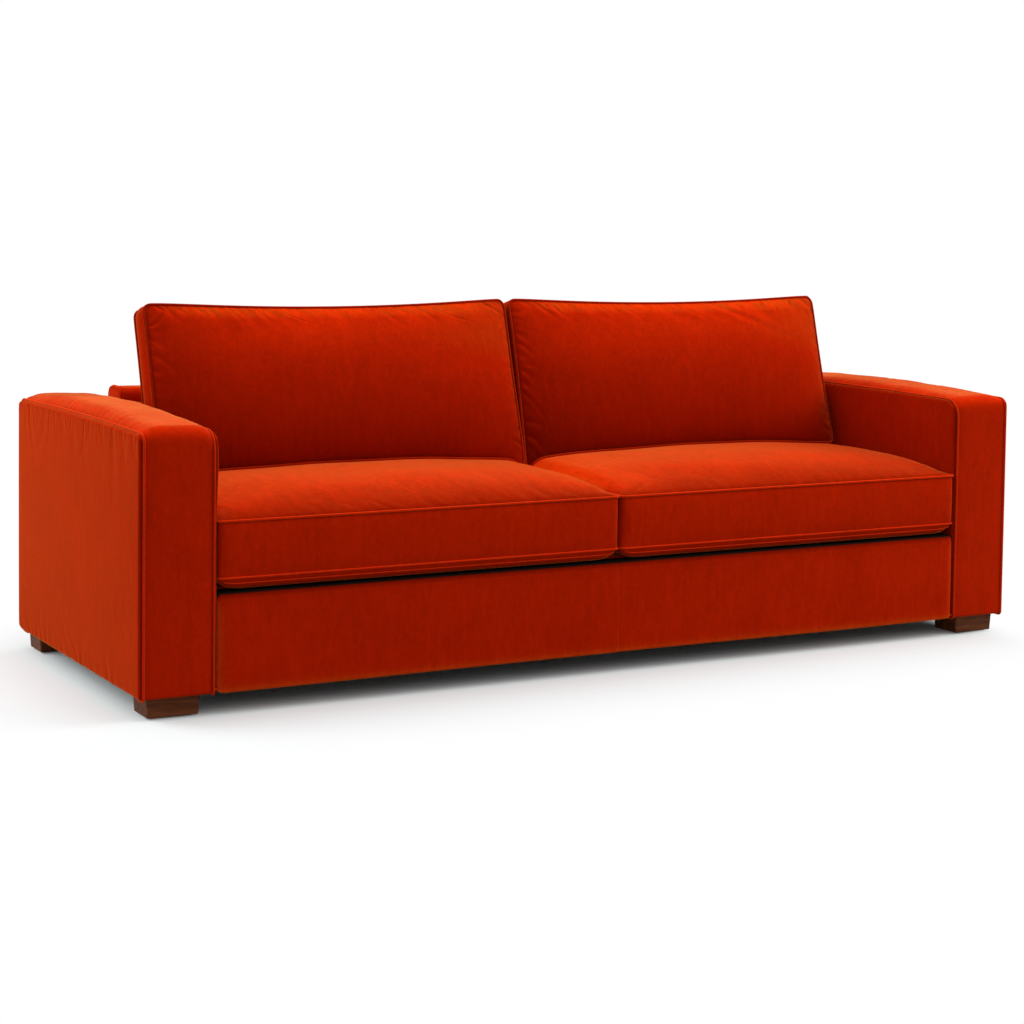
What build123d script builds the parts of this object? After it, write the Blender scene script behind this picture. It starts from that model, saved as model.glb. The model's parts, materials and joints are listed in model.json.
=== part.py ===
"""Two-cushion sofa with track arms, built as separate pieces in millimetres, +X to the viewer's right, +Z up."""
import math
import os

from build123d import *

os.makedirs("parts", exist_ok=True)

# Overall sizes
OVERALL_WIDTH = 2300
ARM_DEPTH = 860
ARM_WIDTH = 167
ARM_SEAM_HEIGHT = 594
ARM_CROWN = 18
ARM_FRONT_CROWN = 3
ARM_CORNER_RADIUS = 24
OUTER_PANEL_THICK = 5
OUTER_PANEL_EDGE = 4
INNER_PANEL_THICK = 13
INNER_PANEL_EDGE = 9
ARM_BAND_THICK = 20
BAND_SECTION_COUNT = 7

# Feet
FOOT_WIDTH = 118
FOOT_DEPTH = 89
FOOT_HEIGHT = 43
FOOT_TAPER = 4
FOOT_EDGE = 4
FOOT_SOLE_EDGE = 1.5
FOOT_SIDE_INSET = 19
FOOT_END_INSET = 15
GLIDE_THICK = 3
GLIDE_INSET = 14

# Wood frame
DUST_THICK = 1.5
RAIL_HEIGHT = 195
RAIL_THICK = 30
RAIL_EDGE = 3
BASE_BOARD_THICK = 20
POST_THICK = 28
TOP_BOARD_THICK = 22
STILE_THICK = 25
BACK_RAIL_HEIGHT = 100
BACK_RAIL_THICK = 30
TOP_RAIL_THICK = 24
BLOCK_LEG = 70
BLOCK_HEIGHT = 60

# Webbing and deck
WEB_WIDTH = 70
WEB_THICK = 2
WEB_CLEAR = 0.3
LONG_STRAPS = 7
CROSS_STRAPS = 4
BACK_STRAPS = 3
DECK_THICK = 15

# Front border
BORDER_PROUD = 4
BORDER_THICK = 20
BORDER_EDGE = 13
END_GAP = 0.5

# Back
BACK_PANEL_THICK = 10
ROLL_DEPTH = 87
ROLL_INSET = 54
ROLL_HEIGHT = 628
ROLL_EDGE = 24
SHOULDER_HEIGHT = 588
ROLL_DROP = 28
SHOULDER_EDGE = 8
PAD_TOP_Z = 562
PAD_THICK = 48
PAD_EDGE = 25

# Seat cushions
SEAT_FRONT_Y = -427
SEAT_REAR_Y = 148
SEAT_TOP_SEAM = 407
SEAT_LOW_SEAM = 287
SEAT_CROWN = 50
SEAT_END_CROWN = 1
SEAT_BELLY_STEP = 8
SEAT_BELLY_INSET = 24
SEAT_ARM_GAP = 3
SEAT_MIDDLE_GAP = 4.5
SEAT_DRAW_IN = 5
CUSHION_SECTION_COUNT = 9
FOAM_INSET = 32
FOAM_SKIN = 4

# Back cushions, leaning back on the seat cushions
BACK_LOW_Y = 10
BACK_LEAN = 16
BACK_HEIGHT = 407
BACK_BOXING = 93
BACK_FRONT_CROWN = 42
BACK_REAR_CROWN = 86
BACK_END_CROWN = 4
BACK_TOP_DIP = 14
BACK_ARM_GAP = 44
BACK_MIDDLE_GAP = 7
FILLING_INSET = 14
FILLING_END = 25

# Clearances
REST_GAP = 0.4
LEAN_GAP = 0.8
PAD_GAP = 0.8
CORE_GAP = 0.3

# Levels and faces that several pieces share
half_width = OVERALL_WIDTH / 2
arm_front = -ARM_DEPTH / 2
arm_rear = ARM_DEPTH / 2
arm_inner = half_width - ARM_WIDTH
band_outer = half_width - OUTER_PANEL_THICK
band_inner = arm_inner + INNER_PANEL_THICK
band_middle = (band_outer + band_inner) / 2
fabric_low = FOOT_HEIGHT + GLIDE_THICK
frame_low = fabric_low + DUST_THICK
core_front = arm_front + ARM_BAND_THICK
core_rear = arm_rear - ARM_BAND_THICK
core_top = ARM_SEAM_HEIGHT - ARM_BAND_THICK
rail_top = frame_low + RAIL_HEIGHT
border_front = arm_front - BORDER_PROUD
rail_front = border_front + BORDER_THICK
rail_back = rail_front + RAIL_THICK
deck_low = rail_top + 2 * WEB_THICK + 2 * WEB_CLEAR
deck_top = deck_low + DECK_THICK
back_face = arm_rear + BORDER_PROUD
stile_rear = back_face - BACK_PANEL_THICK
pad_foot_y = SEAT_REAR_Y + PAD_GAP
stile_front = pad_foot_y + PAD_THICK
rear_rail_front = stile_front - RAIL_THICK
roll_half = arm_inner - ROLL_INSET
roll_front = back_face - ROLL_DEPTH
roll_low = SHOULDER_HEIGHT - ROLL_DROP
stile_top = roll_low + BACK_PANEL_THICK
stile_offset = roll_half - ROLL_INSET / 2
SIDES = (("left", -1), ("right", 1))


def circle_through(a, b, sag):
    """Centre and radius of the arc from a to b that stands out to its left by sag."""
    chord = math.dist(a, b)
    radius = (chord**2 / 4 + sag**2) / (2 * sag)
    left = (-(b[1] - a[1]) / chord, (b[0] - a[0]) / chord)
    reach = sag - radius
    return ((a[0] + b[0]) / 2 + left[0] * reach, (a[1] + b[1]) / 2 + left[1] * reach), radius


def on_seat(y):
    """Point above the seat's crown where a back cushion just clears it."""
    ends = (SEAT_FRONT_Y, SEAT_TOP_SEAM), (SEAT_REAR_Y, SEAT_TOP_SEAM)
    (cy, cz), radius = circle_through(*ends, SEAT_CROWN)
    rise = math.sqrt(radius**2 - (y - cy) ** 2)
    return y, cz + rise + LEAN_GAP * radius / rise


# Corners of a back cushion's boxing in the side view
lean_cos = math.cos(math.radians(BACK_LEAN))
lean_sin = math.sin(math.radians(BACK_LEAN))
back_front_low = on_seat(BACK_LOW_Y)
back_rear_low = on_seat(BACK_LOW_Y + BACK_BOXING * lean_cos)
back_front_top = (back_front_low[0] + BACK_HEIGHT * lean_sin, back_front_low[1] + BACK_HEIGHT * lean_cos)
back_rear_top = (back_front_top[0] + BACK_BOXING * lean_cos, back_front_top[1] - BACK_BOXING * lean_sin)


def save(piece, name):
    piece.part.label = name
    export_step(piece.part, f"parts/{name}.step")


def span(a, b):
    """Low and high end of a range given in either order."""
    return min(a, b), max(a, b)


def crown_steps(count):
    """Places from -1 to 1 with the share of a crown at each: all of it in the middle, none at the ends."""
    places = [2 * i / (count - 1) - 1 for i in range(count)]
    return [(u, 1 - u * u) for u in places]


def board(name, xs, ys, zs, edge_axis=None):
    """A sawn board, with its long edges eased along one axis where that is given."""
    (x0, x1), (y0, y1), (z0, z1) = span(*xs), span(*ys), span(*zs)
    with BuildPart() as piece:
        with BuildSketch(Plane.XY.offset(z0)):
            with Locations(((x0 + x1) / 2, (y0 + y1) / 2)):
                Rectangle(x1 - x0, y1 - y0)
        extrude(amount=z1 - z0)
        if edge_axis:
            chamfer(piece.edges().filter_by(edge_axis), RAIL_EDGE)
    save(piece, name)


def arm_outline(extra_top, extra_front, low):
    """Side view of an arm: straight front, top and rear with rounded top corners, drawn on a YZ plane."""
    top = ARM_SEAM_HEIGHT + extra_top
    front = arm_front - extra_front
    rear = arm_rear + extra_front
    r = ARM_CORNER_RADIUS
    k = r * (1 - math.sqrt(0.5))
    Line((front, low), (front, top - r))
    ThreePointArc((front, top - r), (front + k, top - k), (front + r, top))
    Line((front + r, top), (rear - r, top))
    ThreePointArc((rear - r, top), (rear - k, top - k), (rear, top - r))
    Line((rear, top - r), (rear, low))
    Line((rear, low), (front, low))


def arm_panel(name, seam_x, face_x, low, edge):
    """Padded side panel of an arm with its outer edge rounded."""
    with BuildPart() as piece:
        with BuildSketch(Plane.YZ.offset(seam_x)):
            with BuildLine():
                arm_outline(0, 0, low)
            make_face()
        extrude(amount=face_x - seam_x)
        face = piece.faces().sort_by(Axis.X)[-1 if face_x > seam_x else 0]
        fillet(face.edges().sort_by(Axis.Z)[1:], edge)
    save(piece, name)


# Arms: crowned band over the front, top and rear between two padded side panels
for side, s in SIDES:
    with BuildPart() as arm_band:
        for u, k in crown_steps(BAND_SECTION_COUNT):
            with BuildSketch(Plane.YZ.offset(s * band_middle + u * (band_outer - band_middle))):
                with BuildLine():
                    arm_outline(k * ARM_CROWN, k * ARM_FRONT_CROWN, fabric_low)
                make_face()
        loft(ruled=True)
        with BuildSketch(Plane.YZ.offset(-half_width)):
            with Locations(((core_front + core_rear) / 2, (fabric_low + core_top) / 2)):
                Rectangle(core_rear - core_front, core_top - fabric_low)
        extrude(amount=OVERALL_WIDTH, mode=Mode.SUBTRACT)
    save(arm_band, f"arm_band_{side}")
    arm_panel(f"arm_outer_panel_{side}", s * band_outer, s * half_width, fabric_low, OUTER_PANEL_EDGE)
    arm_panel(f"arm_inner_panel_{side}", s * band_inner, s * arm_inner, frame_low, INNER_PANEL_EDGE)

# Arm frames: base board, two posts and a top board
post_low = frame_low + BASE_BOARD_THICK
post_top = core_top - TOP_BOARD_THICK
for side, s in SIDES:
    width = (s * band_inner, s * band_outer)
    length = (core_front, core_rear)
    board(f"arm_base_{side}", width, length, (frame_low, post_low))
    board(f"arm_front_post_{side}", width, (core_front, core_front + POST_THICK), (post_low, post_top))
    board(f"arm_rear_post_{side}", width, (core_rear - POST_THICK, core_rear), (post_low, post_top))
    board(f"arm_top_board_{side}", width, length, (post_top, core_top))

# Feet: tapered blocks with eased corners, each on a felt pad
foot_x = half_width - FOOT_SIDE_INSET - FOOT_WIDTH / 2
foot_y = ARM_DEPTH / 2 - FOOT_END_INSET - FOOT_DEPTH / 2
for side, s in SIDES:
    for end, e in (("front", -1), ("rear", 1)):
        with BuildPart() as foot:
            with BuildSketch(Plane.XY.offset(fabric_low)) as foot_top:
                with Locations((s * foot_x, e * foot_y)):
                    Rectangle(FOOT_WIDTH, FOOT_DEPTH)
                chamfer(foot_top.vertices(), FOOT_EDGE)
            extrude(amount=-FOOT_HEIGHT, taper=FOOT_TAPER)
            chamfer(foot.faces().sort_by(Axis.Z)[0].edges(), FOOT_SOLE_EDGE)
        save(foot, f"foot_{end}_{side}")

with BuildPart() as foot_glides:
    with BuildSketch():
        with Locations(*[(sx * foot_x, sy * foot_y) for sx in (-1, 1) for sy in (-1, 1)]):
            Rectangle(FOOT_WIDTH - 2 * GLIDE_INSET, FOOT_DEPTH - 2 * GLIDE_INSET)
    extrude(amount=GLIDE_THICK)
save(foot_glides, "foot_glides")

with BuildPart() as dust_cover:
    with BuildSketch(Plane.XY.offset(fabric_low)):
        with Locations((0, (core_front + core_rear) / 2)):
            Rectangle(2 * band_outer, core_rear - core_front)
        with Locations((0, (rail_front + stile_rear) / 2)):
            Rectangle(2 * (arm_inner - END_GAP), stile_rear - rail_front)
    extrude(amount=DUST_THICK)
save(dust_cover, "dust_cover")

# Seat frame between the arms
rail_z = (frame_low, rail_top)
board("front_rail", (-arm_inner, arm_inner), (rail_front, rail_back), rail_z, Axis.X)
board("rear_rail", (-arm_inner, arm_inner), (rear_rail_front, stile_front), rail_z, Axis.X)
board("centre_rail", (-RAIL_THICK / 2, RAIL_THICK / 2), (rail_back, rear_rail_front), rail_z, Axis.Y)
for side, s in SIDES:
    xs = (s * arm_inner, s * (arm_inner - RAIL_THICK))
    board(f"side_rail_{side}", xs, (rail_back, rear_rail_front), rail_z, Axis.Y)

block_x = arm_inner - RAIL_THICK
block_z = (frame_low + rail_top - BLOCK_HEIGHT) / 2
with BuildPart() as corner_blocks:
    with BuildSketch(Plane.XY.offset(block_z)):
        for _, s in SIDES:
            for y, e in ((rail_back, 1), (rear_rail_front, -1)):
                with BuildLine():
                    Polyline(
                        (s * block_x, y),
                        (s * (block_x - BLOCK_LEG), y),
                        (s * block_x, y + e * BLOCK_LEG),
                        close=True,
                    )
                make_face()
    extrude(amount=BLOCK_HEIGHT)
save(corner_blocks, "corner_blocks")

# Back frame: three shaped stiles notched over a low rail, with a rail along the top
back_rail_z = frame_low + BACK_RAIL_HEIGHT
back_rail_y = stile_rear - BACK_RAIL_THICK
board("back_rail", (-arm_inner, arm_inner), (back_rail_y, stile_rear), (frame_low, back_rail_z), Axis.X)


def lower(point, drop):
    """A point of the back cushion's boxing moved down along the cushion's lean."""
    return point[0] - drop * lean_sin, point[1] - drop * lean_cos


# The inside pad's rounded top meets the bowed rear of the back cushions
rear_arc = lower(back_rear_top, BACK_TOP_DIP), back_rear_low, BACK_REAR_CROWN
(bow_y, bow_z), bow_radius = circle_through(*rear_arc)
pad_z = PAD_TOP_Z - PAD_EDGE
pad_y = bow_y + math.sqrt((bow_radius + PAD_EDGE + PAD_GAP) ** 2 - (pad_z - bow_z) ** 2)
slope = (pad_y - PAD_EDGE - pad_foot_y) / (pad_z - deck_top)
knee_y = stile_front + slope * (pad_z - deck_top)
rail_half = roll_half - BACK_PANEL_THICK
top_rail_y = (roll_front + BACK_PANEL_THICK, stile_rear)
for place, x in (("left", -stile_offset), ("centre", 0), ("right", stile_offset)):
    with BuildPart() as back_stile:
        with BuildSketch(Plane.YZ.offset(x - STILE_THICK / 2)):
            with BuildLine():
                Polyline(
                    (stile_front, frame_low),
                    (stile_front, deck_top),
                    (knee_y, pad_z),
                    (top_rail_y[0], roll_low),
                    (top_rail_y[0], stile_top),
                    (stile_rear, stile_top),
                    (stile_rear, back_rail_z),
                    (back_rail_y, back_rail_z),
                    (back_rail_y, frame_low),
                    close=True,
                )
            make_face()
        extrude(amount=STILE_THICK)
    save(back_stile, f"back_stile_{place}")
board("back_top_rail", (-rail_half, rail_half), top_rail_y, (stile_top, stile_top + TOP_RAIL_THICK))

# Seat webbing: straps from front to back, and straps woven across them between the side and centre rails
bay_outer = arm_inner - RAIL_THICK
bay_inner = RAIL_THICK / 2
pitch_x = (bay_outer - bay_inner) / LONG_STRAPS
long_x = [bay_inner + (i + 0.5) * pitch_x for i in range(LONG_STRAPS)]
strap_length = stile_front - rail_front - 2 * RAIL_EDGE
strap_middle = (stile_front + rail_front) / 2
with BuildPart() as seat_webbing_long:
    with BuildSketch(Plane.XY.offset(rail_top)):
        with Locations(*[(s * x, strap_middle) for _, s in SIDES for x in long_x]):
            Rectangle(WEB_WIDTH, strap_length)
    extrude(amount=WEB_THICK)
save(seat_webbing_long, "seat_webbing_long")

pitch_y = (rear_rail_front - rail_back) / CROSS_STRAPS
over = rail_top + WEB_THICK + WEB_CLEAR
under = rail_top - WEB_THICK - WEB_CLEAR
hold = WEB_WIDTH / 2 + WEB_THICK
with BuildPart() as seat_webbing_cross:
    for _, s in SIDES:
        for row in range(CROSS_STRAPS):
            line = [(s * RAIL_EDGE, rail_top)]
            for i, x in enumerate(long_x):
                level = over if (i + row) % 2 else under
                line += [(s * (x - hold), level), (s * (x + hold), level)]
            line += [(s * bay_outer, rail_top), (s * (arm_inner - RAIL_EDGE), rail_top)]
            line[1:1] = [(s * bay_inner, rail_top)]
            upper = [(x, z + WEB_THICK) for x, z in reversed(line)]
            strap_y = rail_back + (row + 0.5) * pitch_y
            with BuildSketch(Plane.XZ.offset(-strap_y - WEB_WIDTH / 2)):
                with BuildLine():
                    Polyline(*line, *upper, close=True)
                make_face()
            extrude(amount=WEB_WIDTH)
save(seat_webbing_cross, "seat_webbing_cross")

board("seat_deck", (END_GAP - arm_inner, arm_inner - END_GAP), (rail_back, pad_foot_y), (deck_low, deck_top))

# Front border: padded face that turns over the top of the front rail, in two halves
for side, s in SIDES:
    with BuildPart() as front_border:
        with BuildSketch(Plane.YZ) as border_section:
            with BuildLine():
                Polyline(
                    (border_front, fabric_low),
                    (border_front, deck_top),
                    (rail_back, deck_top),
                    (rail_back, deck_low),
                    (rail_front, deck_low),
                    (rail_front, fabric_low),
                    close=True,
                )
            make_face()
            fillet(border_section.vertices().sort_by_distance((border_front, deck_top))[0], BORDER_EDGE)
            fillet(border_section.vertices().sort_by_distance((border_front, fabric_low))[0], BORDER_EDGE / 2)
        extrude(amount=s * (arm_inner - END_GAP))
    save(front_border, f"front_border_{side}")

# Back upholstery: outside panel, roll over the top rail with its raised part set in from the arms, inside pad
outside_x = arm_inner - END_GAP
board("outside_back", (-outside_x, outside_x), (stile_rear, back_face), (fabric_low, roll_low))


def roll_section(half, top, edge):
    """End view of the back roll with its upper edges rounded."""
    with BuildSketch(Plane.YZ.offset(-half)) as section:
        with Locations(((roll_front + back_face) / 2, (roll_low + top) / 2)):
            Rectangle(ROLL_DEPTH, top - roll_low)
        fillet(section.vertices().group_by(Axis.Y)[-1], edge)
    return section.sketch


with BuildPart() as back_top_roll:
    extrude(roll_section(outside_x, SHOULDER_HEIGHT, SHOULDER_EDGE), amount=2 * outside_x)
    extrude(roll_section(roll_half, ROLL_HEIGHT, ROLL_EDGE), amount=2 * roll_half)
    core_y = (top_rail_y[0] + stile_rear) / 2
    for half, top in ((outside_x, stile_top), (rail_half + CORE_GAP, stile_top + TOP_RAIL_THICK)):
        with BuildSketch(Plane.XY.offset(roll_low)):
            with Locations((0, core_y)):
                Rectangle(2 * half, stile_rear - top_rail_y[0])
        extrude(amount=top - roll_low, mode=Mode.SUBTRACT)
save(back_top_roll, "back_top_roll")

web_room = WEB_THICK + 2 * WEB_CLEAR
with BuildPart() as inside_back:
    with BuildSketch(Plane.YZ.offset(-outside_x)):
        with BuildLine():
            Polyline(
                (pad_y, PAD_TOP_Z),
                (roll_front, SHOULDER_HEIGHT),
                (roll_front, roll_low + web_room),
                (knee_y - web_room, pad_z + web_room),
                (stile_front - web_room, deck_top),
                (stile_front - web_room, deck_low),
                (pad_foot_y, deck_low),
                (pad_foot_y, deck_top),
                (pad_y - PAD_EDGE, pad_z),
            )
            side = PAD_EDGE * math.sqrt(0.5)
            ThreePointArc((pad_y - PAD_EDGE, pad_z), (pad_y - side, pad_z + side), (pad_y, PAD_TOP_Z))
        make_face()
    extrude(amount=2 * outside_x)
save(inside_back, "inside_back")

# Back webbing: straps laid on the raked front edges of the stiles
lean = math.atan(slope)
rake_z = (pad_z - deck_top) / (BACK_STRAPS + 1)
with BuildPart() as back_webbing:
    for row in range(1, BACK_STRAPS + 1):
        z = deck_top + row * rake_z
        y = stile_front + slope * (z - deck_top)
        strap_plane = Plane(
            origin=(0, y, z), x_dir=(1, 0, 0), z_dir=(0, -math.cos(lean), math.sin(lean))
        )
        with BuildSketch(strap_plane):
            Rectangle(2 * (stile_offset + STILE_THICK), WEB_WIDTH)
        extrude(amount=WEB_THICK)
save(back_webbing, "back_webbing")


def seat_section(x, crown, draw):
    """Side view of a seat cushion above its lower seam, on a YZ plane."""
    front = SEAT_FRONT_Y + draw
    rear = SEAT_REAR_Y - draw
    with BuildSketch(Plane.YZ.offset(x)) as section:
        with BuildLine():
            Line((front, SEAT_LOW_SEAM), (front, SEAT_TOP_SEAM))
            ThreePointArc(
                (front, SEAT_TOP_SEAM),
                ((front + rear) / 2, SEAT_TOP_SEAM + crown),
                (rear, SEAT_TOP_SEAM),
            )
            Line((rear, SEAT_TOP_SEAM), (rear, SEAT_LOW_SEAM))
            Line((rear, SEAT_LOW_SEAM), (front, SEAT_LOW_SEAM))
        make_face()
    return section.sketch


# Seat cushions: boxed cover with a crowned top and a soft belly, and a foam block inside
seat_low = deck_top + REST_GAP
for side, s in SIDES:
    x0, x1 = span(s * SEAT_MIDDLE_GAP, s * (arm_inner - SEAT_ARM_GAP))
    xm = (x0 + x1) / 2
    ym = (SEAT_FRONT_Y + SEAT_REAR_Y) / 2
    length = x1 - x0
    depth = SEAT_REAR_Y - SEAT_FRONT_Y
    core_size = (length - 2 * FOAM_INSET, depth - 2 * FOAM_INSET)
    core_height = SEAT_TOP_SEAM - SEAT_LOW_SEAM - 2 * FOAM_SKIN
    with BuildPart() as seat_cover:
        sections = []
        for u, k in crown_steps(CUSHION_SECTION_COUNT):
            crown = SEAT_END_CROWN + k * (SEAT_CROWN - SEAT_END_CROWN)
            sections.append(seat_section(xm + u * length / 2, crown, k * SEAT_DRAW_IN))
        loft(sections, ruled=True)
        belly = SEAT_LOW_SEAM - seat_low
        with BuildSketch(Plane.XY.offset(SEAT_LOW_SEAM)):
            with Locations((xm, ym)):
                Rectangle(length - 2 * SEAT_BELLY_STEP, depth - 2 * SEAT_BELLY_STEP)
        extrude(amount=-belly, taper=math.degrees(math.atan2(SEAT_BELLY_INSET, belly)))
        with BuildSketch(Plane.XY.offset(SEAT_LOW_SEAM + FOAM_SKIN - CORE_GAP)):
            with Locations((xm, ym)):
                Rectangle(core_size[0] + 2 * CORE_GAP, core_size[1] + 2 * CORE_GAP)
        extrude(amount=core_height + 2 * CORE_GAP, mode=Mode.SUBTRACT)
    save(seat_cover, f"seat_cover_{side}")
    with BuildPart() as seat_foam:
        with BuildSketch(Plane.XY.offset(SEAT_LOW_SEAM + FOAM_SKIN)):
            with Locations((xm, ym)):
                Rectangle(*core_size)
        extrude(amount=core_height)
    save(seat_foam, f"seat_foam_{side}")


def bowed(a, b, sag):
    """Middle point of an arc from a to b that stands out to its left by sag."""
    a, b = Vector(*a), Vector(*b)
    along = (b - a).normalized()
    middle = (a + b) / 2 + Vector(-along.Y, along.X) * sag
    return middle.X, middle.Y


def back_section(x, front_crown, rear_crown, dip):
    """Side view of a back cushion: bowed front and rear between the boxing's corners, on a YZ plane."""
    front_top = lower(back_front_top, dip)
    rear_top = lower(back_rear_top, dip)
    with BuildSketch(Plane.YZ.offset(x)) as section:
        with BuildLine():
            ThreePointArc(back_front_low, bowed(back_front_low, front_top, front_crown), front_top)
            Line(front_top, rear_top)
            ThreePointArc(rear_top, bowed(rear_top, back_rear_low, rear_crown), back_rear_low)
            Line(back_rear_low, back_front_low)
        make_face()
    return section.sketch


# Back cushions: boxed cover bowed front and rear, top edge drawn in, with a filling inside
filling_corners = [
    (back_front_low, 1, 1),
    (back_front_top, 1, -1),
    (back_rear_top, -1, -1),
    (back_rear_low, -1, 1),
]
across = (Vector(*back_rear_top) - Vector(*back_front_top)).normalized()
upward = (Vector(*back_front_top) - Vector(*back_front_low)).normalized()


def filling(x0, x1, gap):
    """Block that fills a back cushion inside its seams, grown by a gap on every side."""
    inset = FILLING_INSET - gap
    corners = []
    for point, a, u in filling_corners:
        drop = BACK_TOP_DIP if u < 0 else 0
        moved = Vector(*point) + across * (a * inset) + upward * (u * (inset + drop))
        corners.append((moved.X, moved.Y))
    with BuildPart() as piece:
        with BuildSketch(Plane.YZ.offset(x0 + FILLING_END - gap)):
            with BuildLine():
                Polyline(*corners, close=True)
            make_face()
        extrude(amount=x1 - x0 - 2 * (FILLING_END - gap))
    return piece


for side, s in SIDES:
    x0, x1 = span(s * BACK_MIDDLE_GAP, s * (arm_inner - BACK_ARM_GAP))
    with BuildPart() as back_cover:
        sections = []
        for u, k in crown_steps(CUSHION_SECTION_COUNT):
            front = BACK_END_CROWN + k * (BACK_FRONT_CROWN - BACK_END_CROWN)
            rear = BACK_END_CROWN + k * (BACK_REAR_CROWN - BACK_END_CROWN)
            place = (x0 + x1) / 2 + u * (x1 - x0) / 2
            sections.append(back_section(place, front, rear, k * BACK_TOP_DIP))
        loft(sections, ruled=True)
        add(filling(x0, x1, CORE_GAP).part, mode=Mode.SUBTRACT)
    save(back_cover, f"back_cover_{side}")
    save(filling(x0, x1, 0), f"back_filling_{side}")
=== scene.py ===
# %% [markdown]
# A velvet sofa with two seats: square arms edged with welts, two boxed seat cushions, two loose back
# cushions and low wooden feet. The solid frame comes from the CAD model. This file dresses it: each
# upholstered part is modelled again as cloth over padding and rides on the CAD body that it belongs to.
# Keeping the CAD model as the frame means that every size is already right, so the work here is form and
# finish.

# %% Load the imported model
import json
import math

import bpy
import numpy as np
from mathutils import Matrix, Vector
from mathutils.bvhtree import BVHTree


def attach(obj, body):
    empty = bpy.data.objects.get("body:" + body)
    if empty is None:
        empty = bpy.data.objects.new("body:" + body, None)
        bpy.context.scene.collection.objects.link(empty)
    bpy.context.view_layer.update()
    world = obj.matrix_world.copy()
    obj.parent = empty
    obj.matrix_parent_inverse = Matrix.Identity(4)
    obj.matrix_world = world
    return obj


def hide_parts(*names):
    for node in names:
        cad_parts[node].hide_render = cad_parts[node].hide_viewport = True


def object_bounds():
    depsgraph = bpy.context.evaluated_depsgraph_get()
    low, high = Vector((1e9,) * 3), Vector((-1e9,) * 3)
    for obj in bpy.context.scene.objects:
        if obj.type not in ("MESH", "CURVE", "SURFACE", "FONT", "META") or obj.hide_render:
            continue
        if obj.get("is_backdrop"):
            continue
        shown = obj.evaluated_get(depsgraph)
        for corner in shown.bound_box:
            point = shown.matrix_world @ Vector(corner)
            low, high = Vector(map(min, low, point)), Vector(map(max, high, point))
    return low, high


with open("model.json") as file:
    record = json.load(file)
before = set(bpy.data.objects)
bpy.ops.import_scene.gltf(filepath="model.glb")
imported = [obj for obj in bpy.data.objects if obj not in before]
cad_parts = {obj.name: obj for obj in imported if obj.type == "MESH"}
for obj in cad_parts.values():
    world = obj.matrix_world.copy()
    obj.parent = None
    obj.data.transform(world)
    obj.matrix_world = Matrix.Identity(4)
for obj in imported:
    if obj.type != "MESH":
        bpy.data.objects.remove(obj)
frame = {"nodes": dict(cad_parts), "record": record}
cad_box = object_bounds()
scene = bpy.context.scene
scene.view_settings.view_transform = "Standard"

# %% [markdown]
# The camera stands where the photographer stood: to the left of the sofa, a little above its back, with a
# longish lens. It could be aimed by eye; here its place and turn were solved from the sofa's straight
# edges, so that the render and the photograph can be laid over each other.

# %% Camera
yaw, pitch, roll = (math.radians(a) for a in (28.939, -3.5, 0.754))
ahead = Vector((math.sin(yaw) * math.cos(pitch), math.cos(yaw) * math.cos(pitch), math.sin(pitch)))
level = Vector((math.cos(yaw), -math.sin(yaw), 0))
upright = level.cross(ahead)
right = math.cos(roll) * level + math.sin(roll) * upright
above = math.cos(roll) * upright - math.sin(roll) * level
bpy.ops.object.camera_add(location=(-2.6494, -4.6971, 1.0809))
camera = bpy.context.object
camera.rotation_euler = Matrix((right, above, -ahead)).transposed().to_euler()
camera.data.lens = 77.4
camera.data.shift_y = -0.1724
scene.camera = camera
print("Camera at", tuple(round(c, 3) for c in camera.location))

# %% [markdown]
# Most of the upholstery is made from one simple start: a flat grid, the same as a piece of cloth cut to
# size, laid over the padding by moving its points. These helpers add such a grid, read and write its
# points, and apply modifiers. Everything is deselected first, because an operator acts on whatever is
# selected.


# %% Helpers for meshes
def pick(obj=None):
    """Object mode, with nothing selected but obj."""
    if bpy.context.mode != "OBJECT":
        bpy.ops.object.mode_set(mode="OBJECT")
    bpy.ops.object.select_all(action="DESELECT")
    if obj:
        obj.select_set(True)
        bpy.context.view_layer.objects.active = obj


def points(obj):
    co = np.empty(len(obj.data.vertices) * 3)
    obj.data.vertices.foreach_get("co", co)
    return co.reshape(-1, 3)


def lay(obj, co):
    obj.data.vertices.foreach_set("co", np.ascontiguousarray(co, float).ravel())
    obj.data.update()


def cloth_grid(name, across, along):
    """A flat grid with one vertex for each pair of places, and each vertex's place in both rows."""
    pick()
    bpy.ops.mesh.primitive_grid_add(x_subdivisions=len(across) - 1, y_subdivisions=len(along) - 1, size=1)
    obj = bpy.context.object
    obj.name = obj.data.name = name
    co = points(obj)
    i = np.rint((co[:, 0] + 0.5) * (len(across) - 1)).astype(int)
    j = np.rint((co[:, 1] + 0.5) * (len(along) - 1)).astype(int)
    return obj, i, j


def modify(obj, kind, **settings):
    pick(obj)
    modifier = obj.modifiers.new(kind.title(), kind)
    for key, value in settings.items():
        setattr(modifier, key, value)
    bpy.ops.object.modifier_apply(modifier=modifier.name)


def face_out(obj):
    """Turns every face outwards."""
    pick(obj)
    bpy.ops.object.mode_set(mode="EDIT")
    bpy.ops.mesh.select_all(action="SELECT")
    bpy.ops.mesh.normals_make_consistent(inside=False)
    bpy.ops.object.mode_set(mode="OBJECT")


def close_back(obj):
    """Fills the open rim behind a panel and turns every face outwards."""
    pick(obj)
    bpy.ops.object.mode_set(mode="EDIT")
    bpy.ops.mesh.select_mode(type="EDGE")
    bpy.ops.mesh.select_all(action="DESELECT")
    bpy.ops.mesh.select_non_manifold()
    bpy.ops.mesh.edge_face_add()
    bpy.ops.object.mode_set(mode="OBJECT")
    face_out(obj)


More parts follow.
